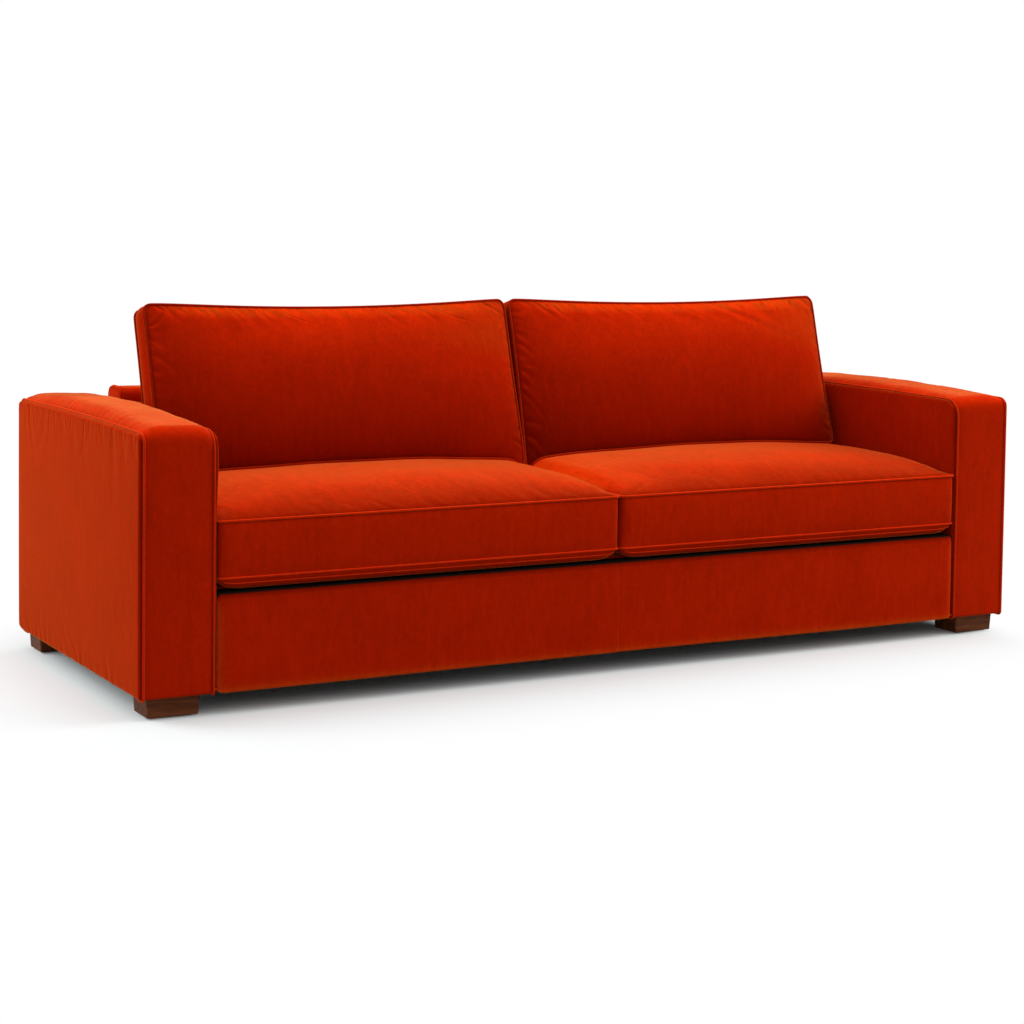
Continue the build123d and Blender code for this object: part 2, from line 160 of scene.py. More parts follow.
def wrap(obj, x, line, height, out, thick, side):
    """Lays a grid along a profile, raised by a height, thickens it to one side and closes it."""
    lay(obj, np.c_[x, line + height[:, None] * out])
    modify(obj, "SOLIDIFY", thickness=thick, offset=side)
    close_back(obj)


# %% [markdown]
# Upholstery turns on small radii: the rim of a panel, the corner of an arm, the fold under a rail. A line
# through a few corners, each with its radius, describes any of these profiles, and places that crowd
# together near a rim give the turn enough points without making the flat middle heavy.


# %% Helpers for profiles
ARC_STEP = 0.004


def rounded(corners, step=0.006):
    """Points along a line through corners (a, b, radius), each inner corner turned on its radius."""
    spots = [np.array(c[:2], float) for c in corners]
    line = []
    for k, spot in enumerate(spots):
        radius = corners[k][2] if len(corners[k]) > 2 else 0
        if not radius or k in (0, len(spots) - 1):
            line.append(spot)
            continue
        u, v = spots[k - 1] - spot, spots[k + 1] - spot
        u, v = u / np.linalg.norm(u), v / np.linalg.norm(v)
        half = math.acos(np.clip(u @ v, -1, 1)) / 2
        middle = spot + (u + v) / np.linalg.norm(u + v) * radius / math.sin(half)
        a = spot + u * radius / math.tan(half) - middle
        b = spot + v * radius / math.tan(half) - middle
        turn = math.pi - 2 * half
        for t in np.linspace(0, 1, max(6, math.ceil(turn * radius / ARC_STEP))):
            line.append(middle + (a * math.sin((1 - t) * turn) + b * math.sin(t * turn)) / math.sin(turn))
    out = [line[0]]
    for p, q in zip(line, line[1:]):
        runs = max(1, math.ceil(np.linalg.norm(q - p) / step))
        out += [p + (q - p) * t for t in np.linspace(0, 1, runs + 1)[1:]]
    return np.array(out)


def outward(line, sign):
    """Unit normals of a line of points, to its left (1) or right (-1)."""
    along = np.gradient(line, axis=0)
    along /= np.linalg.norm(along, axis=1)[:, None]
    return sign * np.stack([-along[:, 1], along[:, 0]], 1)


def stations(low, high, rim, cell):
    """Places from low to high, close together within a rim at each end."""
    edge = rim * np.linspace(0, 1, 7) ** 1.5
    middle = np.linspace(low + rim, high - rim, max(2, math.ceil((high - low - 2 * rim) / cell)) + 1)
    return np.concatenate([low + edge[:-1], middle, (high - edge[:-1])[::-1]])


def quarter(t):
    """Height of a quarter circle, from 0 at its foot to 1."""
    t = np.clip(t, 0, 1)
    return np.sqrt(1 - (1 - t) ** 2)


def swell(t):
    """A full curve from 0 to 1, between a parabola and a quarter circle."""
    t = np.clip(t, 0, 1)
    return 0.5 * (1 - (1 - t) ** 2) + 0.5 * quarter(t)


def crowd(t):
    """Even places from 0 to 1, drawn towards both ends."""
    return t - 0.55 * np.sin(2 * np.pi * t) / (2 * np.pi)


def lengths(line):
    """Distance along a line to each of its points."""
    return np.r_[0, np.cumsum(np.linalg.norm(np.diff(line, axis=0), axis=1))]


def resample(line, share):
    """A line's points at the given shares of its length."""
    run = lengths(line)
    return np.stack([np.interp(share * run[-1], run, line[:, k]) for k in range(line.shape[1])], 1)


def round_corner(a, b, corner, turn, radius):
    """Moves points near a square corner onto a quarter circle. turn is the way out of the corner."""
    u = (a - corner[0]) * turn[0] / radius + 1
    v = (b - corner[1]) * turn[1] / radius + 1
    near = (u > 0) & (v > 0)
    un = np.where(near, u * np.sqrt(np.clip(1 - v * v / 2, 0, 1)), u)
    vn = np.where(near, v * np.sqrt(np.clip(1 - u * u / 2, 0, 1)), v)
    return corner[0] + (un - 1) * radius * turn[0], corner[1] + (vn - 1) * radius * turn[1]


# %% [markdown]
# Velvet that is pulled over padding puckers where it is sewn: short folds run away from the seam, most of
# them at a slant. They could be drawn one by one; here a seeded generator lays a row of them along a
# seam, each with its own place, slant, length and depth, so that every run gives the same folds.

# %% Helper for puckers
# Each row of folds: its first and last place, gap, length, depth and slant.
FOLDS = {
    "arm_top_outer": (-0.38, 0.42, 0.034, 0.045, 0.0015, 0.9),
    "arm_top_inner": (-0.38, 0.42, 0.050, 0.035, 0.0010, 0.7),
    "arm_outer_fine": (-0.42, 0.43, 0.014, 0.050, 0.0007, 0.10),
    "arm_outer_long": (-0.42, 0.43, 0.050, 0.100, 0.0007, -0.12),
    "arm_outer_low": (-0.40, 0.42, 0.040, 0.045, 0.0006, 0.2),
    "arm_inner": (-0.40, 0.38, 0.024, 0.035, 0.0010, 0.5),
    "border": (0.05, 0.95, 0.060, 0.035, 0.0005, 0.2),
    "outside_back": (-0.95, 0.95, 0.030, 0.060, 0.0009, 0.1),
    "back_roll": (-0.9, 0.9, 0.05, 0.05, 0.0006, 0.1),
    "seat_front": (0.03, 0.97, 0.045, 0.045, 0.0012, 0.5),
    "seat_inner_end": (-0.40, 0.12, 0.045, 0.050, 0.0009, -0.3),
    "seat_outer_end": (-0.40, 0.12, 0.045, 0.050, 0.0016, 0.3),
    "back_top_short": (0.02, 0.93, 0.024, 0.032, 0.0034, 0.65),
    "back_top_long": (0.02, 0.93, 0.070, 0.060, 0.0026, 0.8),
    "back_end": (0.03, 0.39, 0.026, 0.034, 0.0028, -0.5),
}


def puckers(along, away, row, seed, way=1):
    """Height of a row of folds at points along a seam and away from it, in metres."""
    start, end, gap, length, depth, slant = FOLDS[row]
    dice = np.random.default_rng(seed)
    height = np.zeros_like(along)
    place = start + gap * dice.uniform(0, 1)
    while place < end:
        reach = length * dice.uniform(0.4, 1.3)
        lean = way * slant + dice.normal(0, 0.22)
        curl = dice.normal(0, 0.35) / length
        width = gap * dice.uniform(0.20, 0.36)
        deep = depth * dice.uniform(0.3, 1.2)
        off = (along - place - (lean + curl * away) * away) / (width * (1 + 0.8 * away / reach))
        fade = np.exp(-((away / reach) ** 2)) * np.clip(away / 0.005, 0.15, 1)
        ridges = 0.5 * np.exp(-(((np.abs(off) - 1.25) / 0.75) ** 2))
        height += deep * fade * (ridges - np.exp(-((off / 0.62) ** 2)))
        place += gap * dice.uniform(0.5, 1.6)
    return height


# %% [markdown]
# Shader maths reads better as Python than as a pile of node calls. This small class wraps an output
# socket, so that 1 - mask or noise * 0.2 adds the Math nodes by itself, and one method adds any other
# kind of node.


# %% A socket with operators
class Shade:
    """One value in a material: an output socket that Python's operators can join to others."""

    def __init__(self, socket):
        self.socket = socket

    def make(self, kind, feeds=None, out=0, stops=(), **settings):
        """Adds a node, sets it up, feeds its inputs with values or sockets, and gives one of its outputs."""
        tree = self.socket.id_data
        node = tree.nodes.new(kind)
        for key, value in settings.items():
            setattr(node, key, value)
        for k, (place, colour) in enumerate(stops):
            ramp = node.color_ramp.elements
            stop = ramp[k] if k < 2 else ramp.new(place)
            stop.position, stop.color = place, colour
        for key, value in (feeds or {}).items():
            if isinstance(value, Shade):
                tree.links.new(value.socket, node.inputs[key])
            else:
                node.inputs[key].default_value = value
        return Shade(node.outputs[out])

    def math(self, operation, a, b=0.0):
        return self.make("ShaderNodeMath", {0: a, 1: b}, operation=operation)

    def __add__(self, other):
        return self.math("ADD", self, other)

    def __radd__(self, other):
        return self.math("ADD", other, self)

    def __sub__(self, other):
        return self.math("SUBTRACT", self, other)

    def __rsub__(self, other):
        return self.math("SUBTRACT", other, self)

    def __mul__(self, other):
        return self.math("MULTIPLY", self, other)

    def __rmul__(self, other):
        return self.math("MULTIPLY", other, self)

    def clamp(self):
        return self.make("ShaderNodeClamp", {0: self})

    def span(self, low, high):
        """This value from low to high, spread over 0 to 1."""
        return self.make("ShaderNodeMapRange", {0: self, 1: low, 2: high}, interpolation_type="SMOOTHSTEP")

    def mix(self, a, b):
        """Colour a where this value is 0, colour b where it is 1."""
        feeds = {"Factor": self, 6: a, 7: b}
        return self.make("ShaderNodeMix", feeds, out=2, data_type="RGBA")

    def scaled(self, *size):
        return self.make("ShaderNodeMapping", {"Vector": self, "Scale": size})

    def noise(self, scale, detail=2.0, rough=0.5, twist=0.0):
        feeds = {"Vector": self, "Scale": scale, "Detail": detail, "Roughness": rough, "Distortion": twist}
        return self.make("ShaderNodeTexNoise", feeds, out="Fac")

    def bump(self, strength, distance):
        feeds = {"Strength": strength, "Distance": distance, "Height": self}
        return self.make("ShaderNodeBump", feeds)

    def in_view(self):
        """1 for rays that the camera sees, straight or by way of a mirror or glass."""
        kinds = ("Camera", "Glossy", "Transmission")
        a, b, c = (self.make("ShaderNodeLightPath", out=f"Is {kind} Ray") for kind in kinds)
        return (a + b + c).clamp()


def new_material(name):
    """A new material, its shader and its Object coordinates."""
    material = bpy.data.materials.new(name)
    material.use_nodes = True
    shader = material.node_tree.nodes["Principled BSDF"]
    place = Shade(material.node_tree.nodes.new("ShaderNodeTexCoord").outputs["Object"])
    return material, shader, place


def feed(shader, **values):
    """Links or sets the shader's sockets by name."""
    for key, value in values.items():
        socket = shader.inputs[key.replace("_", " ")]
        if isinstance(value, Shade):
            shader.id_data.links.new(value.socket, socket)
        else:
            socket.default_value = value


# %% [markdown]
# Velvet is a dense pile of short upright threads. Seen face on, one looks down between the threads and
# the cloth is a deep red; seen along the surface, the lit sides of the threads glow orange. The shader's
# sheen layer does just that, so its tint carries the orange and the base stays dark. The base is painted
# lighter as a face turns up and a little darker as it turns down, as painted light from above. Strokes
# of a hand leave the pile leaning this way and that: faint streaks down the fronts, wider stroke marks on
# the tops. Two point attributes carry painted light: the first is 1 along a seam, where the base is
# painted darker as shade, and the second paints shade where it is above 0 (darker) and sheen where it is
# below 0 (lighter and nearer to orange).


# %% Velvet
def velvet_finish(name, bright_base, tint, highlight_gain=0.0):
    material, shader, place = new_material(name)
    normal = place.make("ShaderNodeNewGeometry", out="Normal")
    up = normal.make("ShaderNodeSeparateXYZ", {0: normal}, out="Z")
    seam_shade = place.make("ShaderNodeAttribute", out="Fac", attribute_name="seam_shade")
    shade_and_sheen = place.make("ShaderNodeAttribute", out="Fac", attribute_name="shade_and_sheen")
    level = up.span(0.35, 0.85)
    streaks = place.scaled(64, 64, 15).noise(1.0, 4.0, 0.6, 0.4)
    strokes = place.scaled(38, 15, 26).noise(1.0, 5.0, 0.66, 0.9)
    cloud = place.noise(5.0, 3.0, 0.55, 0.5)
    mottle = place.noise(95.0, 3.0, 0.6)
    threads = place.scaled(210, 210, 14).noise(1.0, 2.0)
    pile = place.noise(700.0, 2.0, 0.6)
    lie = streaks * (1 - level) + strokes * level
    # Painted light from above: lighter as a face turns up, a little darker as it turns down.
    facing_light = 0.80 + 0.15 * up.span(-0.8, -0.1) + 0.62 * up.span(0.25, 0.95) + highlight_gain
    tone = (0.36 + 0.40 * level) * lie + 0.30 * cloud + 0.36 * mottle + 0.16 * threads + 0.20 * pile
    tone = tone + 0.31 - 0.20 * level
    # Painted shade: darker along the seams and where the second attribute is above 0.
    lightness = facing_light * tone * (1 - 0.55 * seam_shade) * (1 - shade_and_sheen.clamp())
    height = 0.0003 * pile + 0.0003 * threads + (0.0006 + 0.0016 * level) * lie
    bump = height.bump(0.7, 1.0)
    colour = (lightness * 0.5).mix((0, 0, 0, 1), bright_base)
    # Painted sheen: where the second attribute is below 0, the base turns lighter and more orange.
    painted_sheen = level.mix((0.92, 0.135, 0.010, 1), (0.98, 0.048, 0.001, 1))
    painted_sheen = (0.48 + 0.6 * strokes + 0.4 * mottle).clamp().mix((0, 0, 0, 1), painted_sheen)
    colour = ((0 - shade_and_sheen) * (0.4 + 1.2 * lie)).clamp().mix(colour, painted_sheen)
    feed(shader, Base_Color=colour, Roughness=0.95 - 0.15 * lie, Normal=bump)
    feed(shader, Specular_IOR_Level=0.0, Sheen_Weight=1.0, Sheen_Roughness=0.32, Sheen_Tint=tint)
    return material


BRIGHT_BASE = (0.88, 0.0255, 0.0010, 1)
velvet = velvet_finish("velvet", BRIGHT_BASE, (1.0, 0.23, 0.048, 1))
velvet_arm = velvet_finish("velvet_arm", BRIGHT_BASE, (1.0, 0.29, 0.080, 1))
# The welts are painted lighter and a little more orange than the cloth, as a painted highlight.
velvet_welt = velvet_finish("velvet_welt", (0.88, 0.030, 0.0020, 1), (1.0, 0.26, 0.07, 1), 0.35)
print("Velvet nodes:", len(velvet.node_tree.nodes))


# %% Finishing a piece
SEAM_SHADE_WIDTH = 0.003


def dress(obj, body, finish=velvet, instead=(), seam=None, painted_light=None):
    """Finishes a piece: material, body, the nodes it stands for, and its painted shade and sheen."""
    pick(obj)
    bpy.ops.object.shade_smooth()
    # Painted shade: the base darkens within a few millimetres of a seam.
    if seam is not None:
        seam_shade = obj.data.attributes.new("seam_shade", "FLOAT", "POINT")
        seam_shade.data.foreach_set("value", np.exp(-np.asarray(seam) / SEAM_SHADE_WIDTH))
    # Painted shade where the value is above 0, painted sheen where it is below 0.
    if painted_light is not None:
        shade_and_sheen = obj.data.attributes.new("shade_and_sheen", "FLOAT", "POINT")
        shade_and_sheen.data.foreach_set("value", np.asarray(painted_light, float))
    obj.data.materials.clear()
    obj.data.materials.append(finish)
    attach(obj, body)
    if instead:
        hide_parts(*instead)
    return obj


# %% [markdown]
# A welt is a thin cord wrapped in velvet and sewn into a seam. It is made as a curve with a round bevel
# that follows the seam's points and is then turned into a mesh.


# %% Helper for welts
def welt(name, line, body, radius, closed=False, shade_and_sheen=0.0):
    curve = bpy.data.curves.new(name, "CURVE")
    curve.dimensions = "3D"
    spline = curve.splines.new("POLY")
    spline.points.add(len(line) - 1)
    spline.points.foreach_set("co", np.c_[line, np.ones(len(line))].ravel())
    spline.use_cyclic_u = closed
    curve.bevel_depth = radius
    curve.bevel_resolution = 2
    curve.use_fill_caps = True
    obj = bpy.data.objects.new(name, curve)
    scene.collection.objects.link(obj)
    pick(obj)
    bpy.ops.object.convert(target="MESH")
    obj = bpy.context.object
    # One value of painted shade and sheen along the whole welt.
    return dress(obj, body, velvet_welt, painted_light=np.full(len(obj.data.vertices), shade_and_sheen))


# %% [markdown]
# Each arm is one band of velvet that runs up the front, over the top and down the back, sewn between two
# side panels. The band is a long grid bent round the arm's side view, crowned in the middle and sunk a
# little at the seams, where the welts lie. Both seams bow up slightly between their ends and turn the
# corners on their own radius, so the band blends three lines: the inner seam, the outer seam and the
# crown between them.

# %% Arm bands
SIDES = (("left", -1), ("right", 1))
ARM_X = (0.990, 1.145)
ARM_Y = 0.430
ARM_LOW, ARM_SEAM = 0.046, 0.594
ARM_CORNER = {"outer": 0.020, "inner": 0.040}
ARM_FOOT_TURN = {"front": 0.006, "back": 0.025}
ARM_CROWN = {"left": 0.027, "right": 0.019}
ARM_BOW = 0.005


def bow(y, z):
    """Rise of the arm's top seam between its ends."""
    return ARM_BOW * (1 - (y / ARM_Y) ** 2) * np.clip((z - ARM_LOW) / (ARM_SEAM - ARM_LOW), 0, 1)


def arm_line(corner, lift, push):
    """The arm's side view, from under the front, over the top and down the back."""
    front, back, top = -ARM_Y - push, ARM_Y + push, ARM_SEAM + lift
    line = rounded(
        [
            (front + 0.030, ARM_LOW),
            (front, ARM_LOW, ARM_FOOT_TURN["front"]),
            (front, top, corner),
            (back, top, corner),
            (back, ARM_LOW, ARM_FOOT_TURN["back"]),
            (back - 0.050, ARM_LOW),
        ]
    )
    line[:, 1] += bow(np.clip(line[:, 0], -ARM_Y, ARM_Y), line[:, 1])
    return line


arm_middle = arm_line(0.030, 0, 0)
arm_out = outward(arm_middle, 1)
arm_run = lengths(arm_middle)
arm_share = arm_run / arm_run[-1]
arm_seam = {face: resample(arm_line(corner, 0, 0), arm_share) for face, corner in ARM_CORNER.items()}


def arm_band(side, sign, lift, seed):
    xs = stations(ARM_X[0] + 0.001, ARM_X[1] - 0.001, 0.010, 0.005)
    obj, i, j = cloth_grid(f"arm_band_cover_{side}", xs, arm_run)
    x = xs[i]
    middle, half = sum(ARM_X) / 2, (ARM_X[1] - ARM_X[0]) / 2
    edge = half - np.abs(x - middle)
    full = (1 - (np.abs(x - middle) / half) ** 4.5)[:, None]
    across = ((x - ARM_X[0]) / (2 * half))[:, None]
    seam = arm_seam["inner"][j] * (1 - across) + arm_seam["outer"][j] * across
    crown = resample(arm_line(0.034, 0.5 * lift, 0.003), arm_share)
    crown[:, 1] += 0.5 * lift / ARM_BOW * bow(np.clip(crown[:, 0], -ARM_Y, ARM_Y), crown[:, 1])
    yz = seam * (1 - full) + crown[j] * full
    top = np.clip(arm_out[j, 1], 0, 1) ** 2
    rim = 0.0028 * (1 - quarter(edge / 0.006))
    y = yz[:, 0]
    outer, inner = ARM_X[1] - x, x - ARM_X[0]
    folds = top * puckers(y, outer, "arm_top_outer", seed)
    folds += top * puckers(y, inner, "arm_top_inner", seed + 3)
    soft = top * 0.0010 * np.sin(9 * y + 40 * x + seed) * np.sin(31 * y - 22 * x)
    wrap(obj, sign * x, yz, folds + soft - rim, arm_out[j], 0.012, -sign)
    # Distance to the seams, for the painted shade along them.
    x = np.abs(points(obj)[:, 0])
    edge = np.minimum(np.abs(x - ARM_X[0]), np.abs(x - ARM_X[1]))
    return dress(obj, "frame", velvet_arm, instead=[f"arm_band_{side}"], seam=edge + 0.001)


for seed, (side, sign) in enumerate(SIDES):
    arm_band(side, sign, ARM_CROWN[side], 11 + seed)
print("Arm profile length:", round(arm_run[-1], 3), "m in", len(arm_run), "steps")

# %% [markdown]
# The side panels are padded sheets with a rounded rim. The outer one is nearly flat, with fine upright
# puckers under its top welt; the inner one swells towards the sitter above the seat cushion. Both are
# flat grids: their corners are turned on a radius, their rims rounded off towards the seam, and their
# backs closed.


# %% Arm side panels
# For each face: its seam's x, its way out, thickness, rim, cell size and its painted shade.
FACES = {
    "outer": (ARM_X[1], 1, 0.008, 0.008, 0.0024, 0.0),
    "inner": (ARM_X[0], -1, 0.0075, 0.010, 0.005, 0.20),
}
FRONT_RIM = 0.007


def arm_side(side, sign, face, seed):
    seam, out, thick, rim, cell, painted_light = FACES[face]
    ys = stations(-ARM_Y, ARM_Y, rim, cell)
    zs = stations(ARM_LOW, ARM_SEAM, rim, 0.007)
    obj, i, j = cloth_grid(f"arm_{face}_cover_{side}", ys, zs)
    y, z = ys[i], zs[j]
    dy, dz = ARM_Y - np.abs(y), np.minimum(z - ARM_LOW, ARM_SEAM - z)
    v = (z - ARM_LOW) / (ARM_SEAM - ARM_LOW)
    flat = np.clip(1 - (y / ARM_Y) ** 2, 0, 1) ** 0.6
    height = thick * quarter(dy / FRONT_RIM) * quarter(dz / rim)
    below = ARM_SEAM - z
    if face == "outer":
        height += 0.005 * flat * np.clip(4 * v * (1 - v), 0, 1) ** 0.7
        height += puckers(y, below, "arm_outer_fine", seed) * quarter(dy / 0.03)
        height += puckers(y, below, "arm_outer_long", seed + 2) * quarter(dy / 0.05)
        low = z - ARM_LOW
        height += puckers(y, low, "arm_outer_low", seed + 5) * quarter(dy / 0.05)
    else:
        full = np.exp(-(((z - 0.535) / 0.075) ** 2))
        height += 0.007 * full * quarter(dy / 0.03)
        height += puckers(y, below, "arm_inner", seed) * quarter(dy / 0.05)
    near = np.minimum(dy, dz)
    for cy, end in ((-1, "front"), (1, "back")):
        y, z = round_corner(y, z, (cy * ARM_Y, ARM_SEAM), (cy, 1), ARM_CORNER[face])
        y, z = round_corner(y, z, (cy * ARM_Y, ARM_LOW), (cy, -1), ARM_FOOT_TURN[end])
    lay(obj, np.stack([sign * (seam + out * height), y, z + bow(y, z)], 1))
    close_back(obj)
    # Painted shade along the rims, and over the whole inner panel.
    painted_light = np.full(len(near), painted_light)
    return dress(obj, "frame", instead=[f"arm_{face}_panel_{side}"], seam=near, painted_light=painted_light)


ARM_WELT = {"outer": (ARM_X[1] - 0.0015, 0.0030), "inner": (ARM_X[0] + 0.0002, 0.0025)}
WELT_PROUD = 0.0018
for seed, (side, sign) in enumerate(SIDES):
    for face, (seam_x, radius) in ARM_WELT.items():
        arm_side(side, sign, face, 21 + 7 * seed)
        line = np.c_[np.full(len(arm_run), sign * seam_x), arm_seam[face] + WELT_PROUD * arm_out]
        welt(f"arm_{face}_welt_{side}", line, "frame", radius)
print("Arm panels and welts: 8 pieces")

# %% [markdown]
# The front border hides the front rail. It is one strip of velvet in two halves with a plain seam in the
# middle. It is folded under the rail at the bottom and ends just under the cushions at the top, where
# black cloth takes over as painted shadow in the gap. The strip is a grid bent round that fold, and each
# end turns in on a small radius so that the seam and the joint with the arm read as a fine line.


# %% Front border
ARM_GAP = 0.9825
COVER_END = 0.9822
BORDER_Y = -0.433
BORDER_LOW, BORDER_TOP = 0.0465, 0.2545


def border(side, sign, seed):
    upper = [(-0.4294, BORDER_TOP), (BORDER_Y, 0.240, 0.012)]
    lower = [(BORDER_Y, BORDER_LOW, 0.006), (-0.400, BORDER_LOW)]
    profile = rounded(upper + lower, 0.007)
    out = outward(profile, -1)
    xs = stations(0.0001, COVER_END, 0.008, 0.010)
    obj, i, j = cloth_grid(f"front_border_cover_{side}", xs, profile[:, 0])
    x, z = xs[i], profile[j, 1]
    seam = 0.0006 * (1 - quarter(x / 0.003))
    end = 0.012 * (1 - quarter((ARM_GAP - x) / 0.014))
    wide = np.clip(4 * (x / ARM_GAP) * (1 - x / ARM_GAP), 0, 1) ** 0.5
    height = 0.0015 * np.sin(5.0 * x + seed) * np.sin(14 * z) + 0.003 * wide * np.clip(-out[j, 0], 0, 1)
    height += puckers(x, np.abs(z - 0.047), "border", seed)
    height -= seam + end
    wrap(obj, sign * x, profile[j], height, out[j], 0.008, sign)
    x, _, z = points(obj).T
    # Painted shadow along the top under the cushions, painted highlight along the bottom edge and at the ends
    # by the arms.
    shade = 0.90 * np.exp(-np.clip(BORDER_TOP - z, 0, None) / 0.007) - 0.60 * np.exp(-(z - 0.046) / 0.005)
    shade -= 0.40 * np.exp(-(ARM_GAP - np.abs(x)) / 0.005)
    return dress(obj, "frame", instead=[f"front_border_{side}"], painted_light=shade)


for seed, (side, sign) in enumerate(SIDES):
    border(side, sign, 3 + seed)
print("Front border in two halves")

# %% [markdown]
# The deck under the seat cushions and the pad behind the back cushions are only seen when a cushion is
# lifted. Both are padded velvet strips bent round their profiles in the same way; the deck sags a little.


# %% Deck and inside back
def strip(name, corners, half, nodes, sag, thick, finish=velvet):
    """A padded strip across the sofa: a profile in the side view, carried from one arm to the other."""
    profile = rounded(corners, 0.010)
    out = outward(profile, 1)
    xs = stations(-half, half, 0.008, 0.016)
    obj, i, j = cloth_grid(name, xs, profile[:, 0])
    x = xs[i]
    along = np.linspace(0, 1, len(profile))[j]
    height = sag * np.sin(np.pi * along) * (1 - (x / half) ** 4)
    height -= 0.003 * (1 - quarter((half - np.abs(x)) / 0.006))
    wrap(obj, x, profile[j], height, out[j], thick, -1)
    return dress(obj, "frame", finish, nodes)


deck = [(-0.383, 0.2618), (0.148, 0.2618)]
strip("deck_cover", deck, COVER_END, ["seat_deck"], -0.002, 0.010)
inside = [(0.1492, 0.250), (0.2255, 0.536), (0.2405, 0.5612, 0.020), (0.346, 0.5872)]
strip("inside_back_cover", inside, COVER_END, ["inside_back"], 0.0, 0.010)
print("Deck and inside back covered")

# %% [markdown]
# The back is finished by a plain padded panel behind and a roll along the top rail, set in from the arms.
# The roll is a strip bent over the rail, closed at each end by a small panel with a welt round it.

# %% Outside back
PANEL_LOW, PANEL_TOP = 0.0465, 0.5600
PANEL_Y = 0.4245
PANEL_RIM = 0.008
xs = stations(-COVER_END, COVER_END, PANEL_RIM, 0.016)
zs = stations(PANEL_LOW, PANEL_TOP, PANEL_RIM, 0.010)
panel, i, j = cloth_grid("outside_back_cover", xs, zs)
x, z = xs[i], zs[j]
low, below = z - PANEL_LOW, PANEL_TOP - z
sides = quarter((COVER_END - np.abs(x)) / PANEL_RIM)
height = PANEL_RIM * sides * quarter(np.minimum(low, below) / PANEL_RIM)
height += 0.004 * (1 - (x / COVER_END) ** 2) * np.clip(4 * low * below / 0.264, 0, 1)
height += puckers(x, below, "outside_back", 61)
lay(panel, np.stack([x, PANEL_Y + height, z], 1))
close_back(panel)
dress(panel, "frame", instead=["outside_back"])
print("Outside back faces:", len(panel.data.polygons))

# %% Back roll
ROLL_Y = (0.347, 0.434)
ROLL_Z = (0.5605, 0.622)
ROLL_TURN = 0.024
ROLL_END = 0.929 - 0.006
SHOULDER_X = (0.9225, COVER_END)
SHOULDER_TOP, SHOULDER_TURN = 0.588, 0.008


def over_rail(foot, top, turn):
    """The side view of a strip bent over the top rail, from behind to the front."""
    front, back = ROLL_Y
    return rounded([(back, ROLL_Z[0]), (back, top, turn), (front, top, turn), (front, foot)])


roll_line = over_rail(0.5755, ROLL_Z[1], ROLL_TURN)
roll_out = outward(roll_line, 1)
xs = stations(-ROLL_END, ROLL_END, 0.008, 0.016)
roll_cover, i, j = cloth_grid("back_roll_cover", xs, roll_line[:, 0])
x, y = xs[i], roll_line[j, 0]
height = 0.003 * (1 - (x / 0.929) ** 2) - 0.003 * (1 - quarter((ROLL_END - np.abs(x)) / 0.008))
height += puckers(x, np.abs(y - 0.39), "back_roll", 71)
wrap(roll_cover, x, roll_line[j], height, roll_out[j], 0.008, 1)
dress(roll_cover, "frame", instead=["back_top_roll"])
print("Back roll faces:", len(roll_cover.data.polygons))


# %% Ends and shoulders of the roll
def roll_cap(side, sign):
    """The small panel that closes the roll, with a welt round it."""
    ys, zs = stations(*ROLL_Y, 0.006, 0.006), stations(*ROLL_Z, 0.006, 0.006)
    cap, i, j = cloth_grid(f"roll_end_cover_{side}", ys, zs)
    y, z = ys[i], zs[j]
    dy, dz = np.minimum(y - ROLL_Y[0], ROLL_Y[1] - y), np.minimum(z - ROLL_Z[0], ROLL_Z[1] - z)
    height = 0.006 * quarter(dy / 0.007) * quarter(dz / 0.007)
    for cy, turn in zip(ROLL_Y, (-1, 1)):
        y, z = round_corner(y, z, (cy, ROLL_Z[1]), (turn, 1), ROLL_TURN)
    lay(cap, np.stack([sign * (ROLL_END + height), y, z], 1))
    close_back(cap)
    dress(cap, "frame")
    line = np.c_[np.full(len(roll_line), sign * ROLL_END), roll_line + 0.0008 * roll_out]
    welt(f"roll_welt_{side}", line, "frame", 0.0028)


def roll_shoulder(side, sign):
    """The low pad between the roll's end and the arm."""
    line = over_rail(ROLL_Z[0], SHOULDER_TOP, SHOULDER_TURN)
    xs = stations(*SHOULDER_X, 0.006, 0.008)
    pad, i, j = cloth_grid(f"roll_shoulder_cover_{side}", xs, line[:, 0])
    height = 0.0015 - 0.003 * (1 - quarter((SHOULDER_X[1] - xs[i]) / 0.006))
    wrap(pad, sign * xs[i], line[j], height, outward(line, 1)[j], 0.006, sign)
    dress(pad, "frame")


for side, sign in SIDES:
    roll_cap(side, sign)
    roll_shoulder(side, sign)
print("Roll: two ends with welts, two shoulders")

# %% [markdown]
# The dust cover is a sheet of thin black cloth stapled under the frame to keep dust out of the webbing.
# It is a grid stretched from edge to edge that sags a few millimetres between the rails.

# %% Dust cover
DUST_X, DUST_Y = 1.139, 0.409
DUST_Z = 0.0468
xs, ys = np.linspace(-DUST_X, DUST_X, 121), np.linspace(-DUST_Y, DUST_Y, 45)
dust, i, j = cloth_grid("dust_cover_cloth", xs, ys)
x, y = xs[i], ys[j]
sag = 0.0030 * np.abs(np.sin(np.pi * x / 0.57)) * (1 - (y / DUST_Y) ** 2)
ripple = 0.0006 * np.sin(70 * x + 5 * np.sin(9 * y)) * np.exp(-((DUST_Y - np.abs(y)) / 0.03))
lay(dust, np.stack([x, y, DUST_Z - sag + ripple], 1))
print("Dust cover cells:", len(dust.data.polygons))

# %% [markdown]
# A cushion cover is two panels joined by a strip called the boxing. It starts as a grid, copied for the
# second panel and bridged along the rims, which gives a box with the seams as clean edge loops. Blender's
# Cloth then blows it up: the seam points are pinned, the panels are cut a little larger than the seams
# allow, and the pressure inside crowns them and leaves small gathers along the seams, as stuffing does.


# %% Boxed cushion and its inflation
SAME = 1e-4
PRESSURE, STIFFNESS = 30.0, 15.0


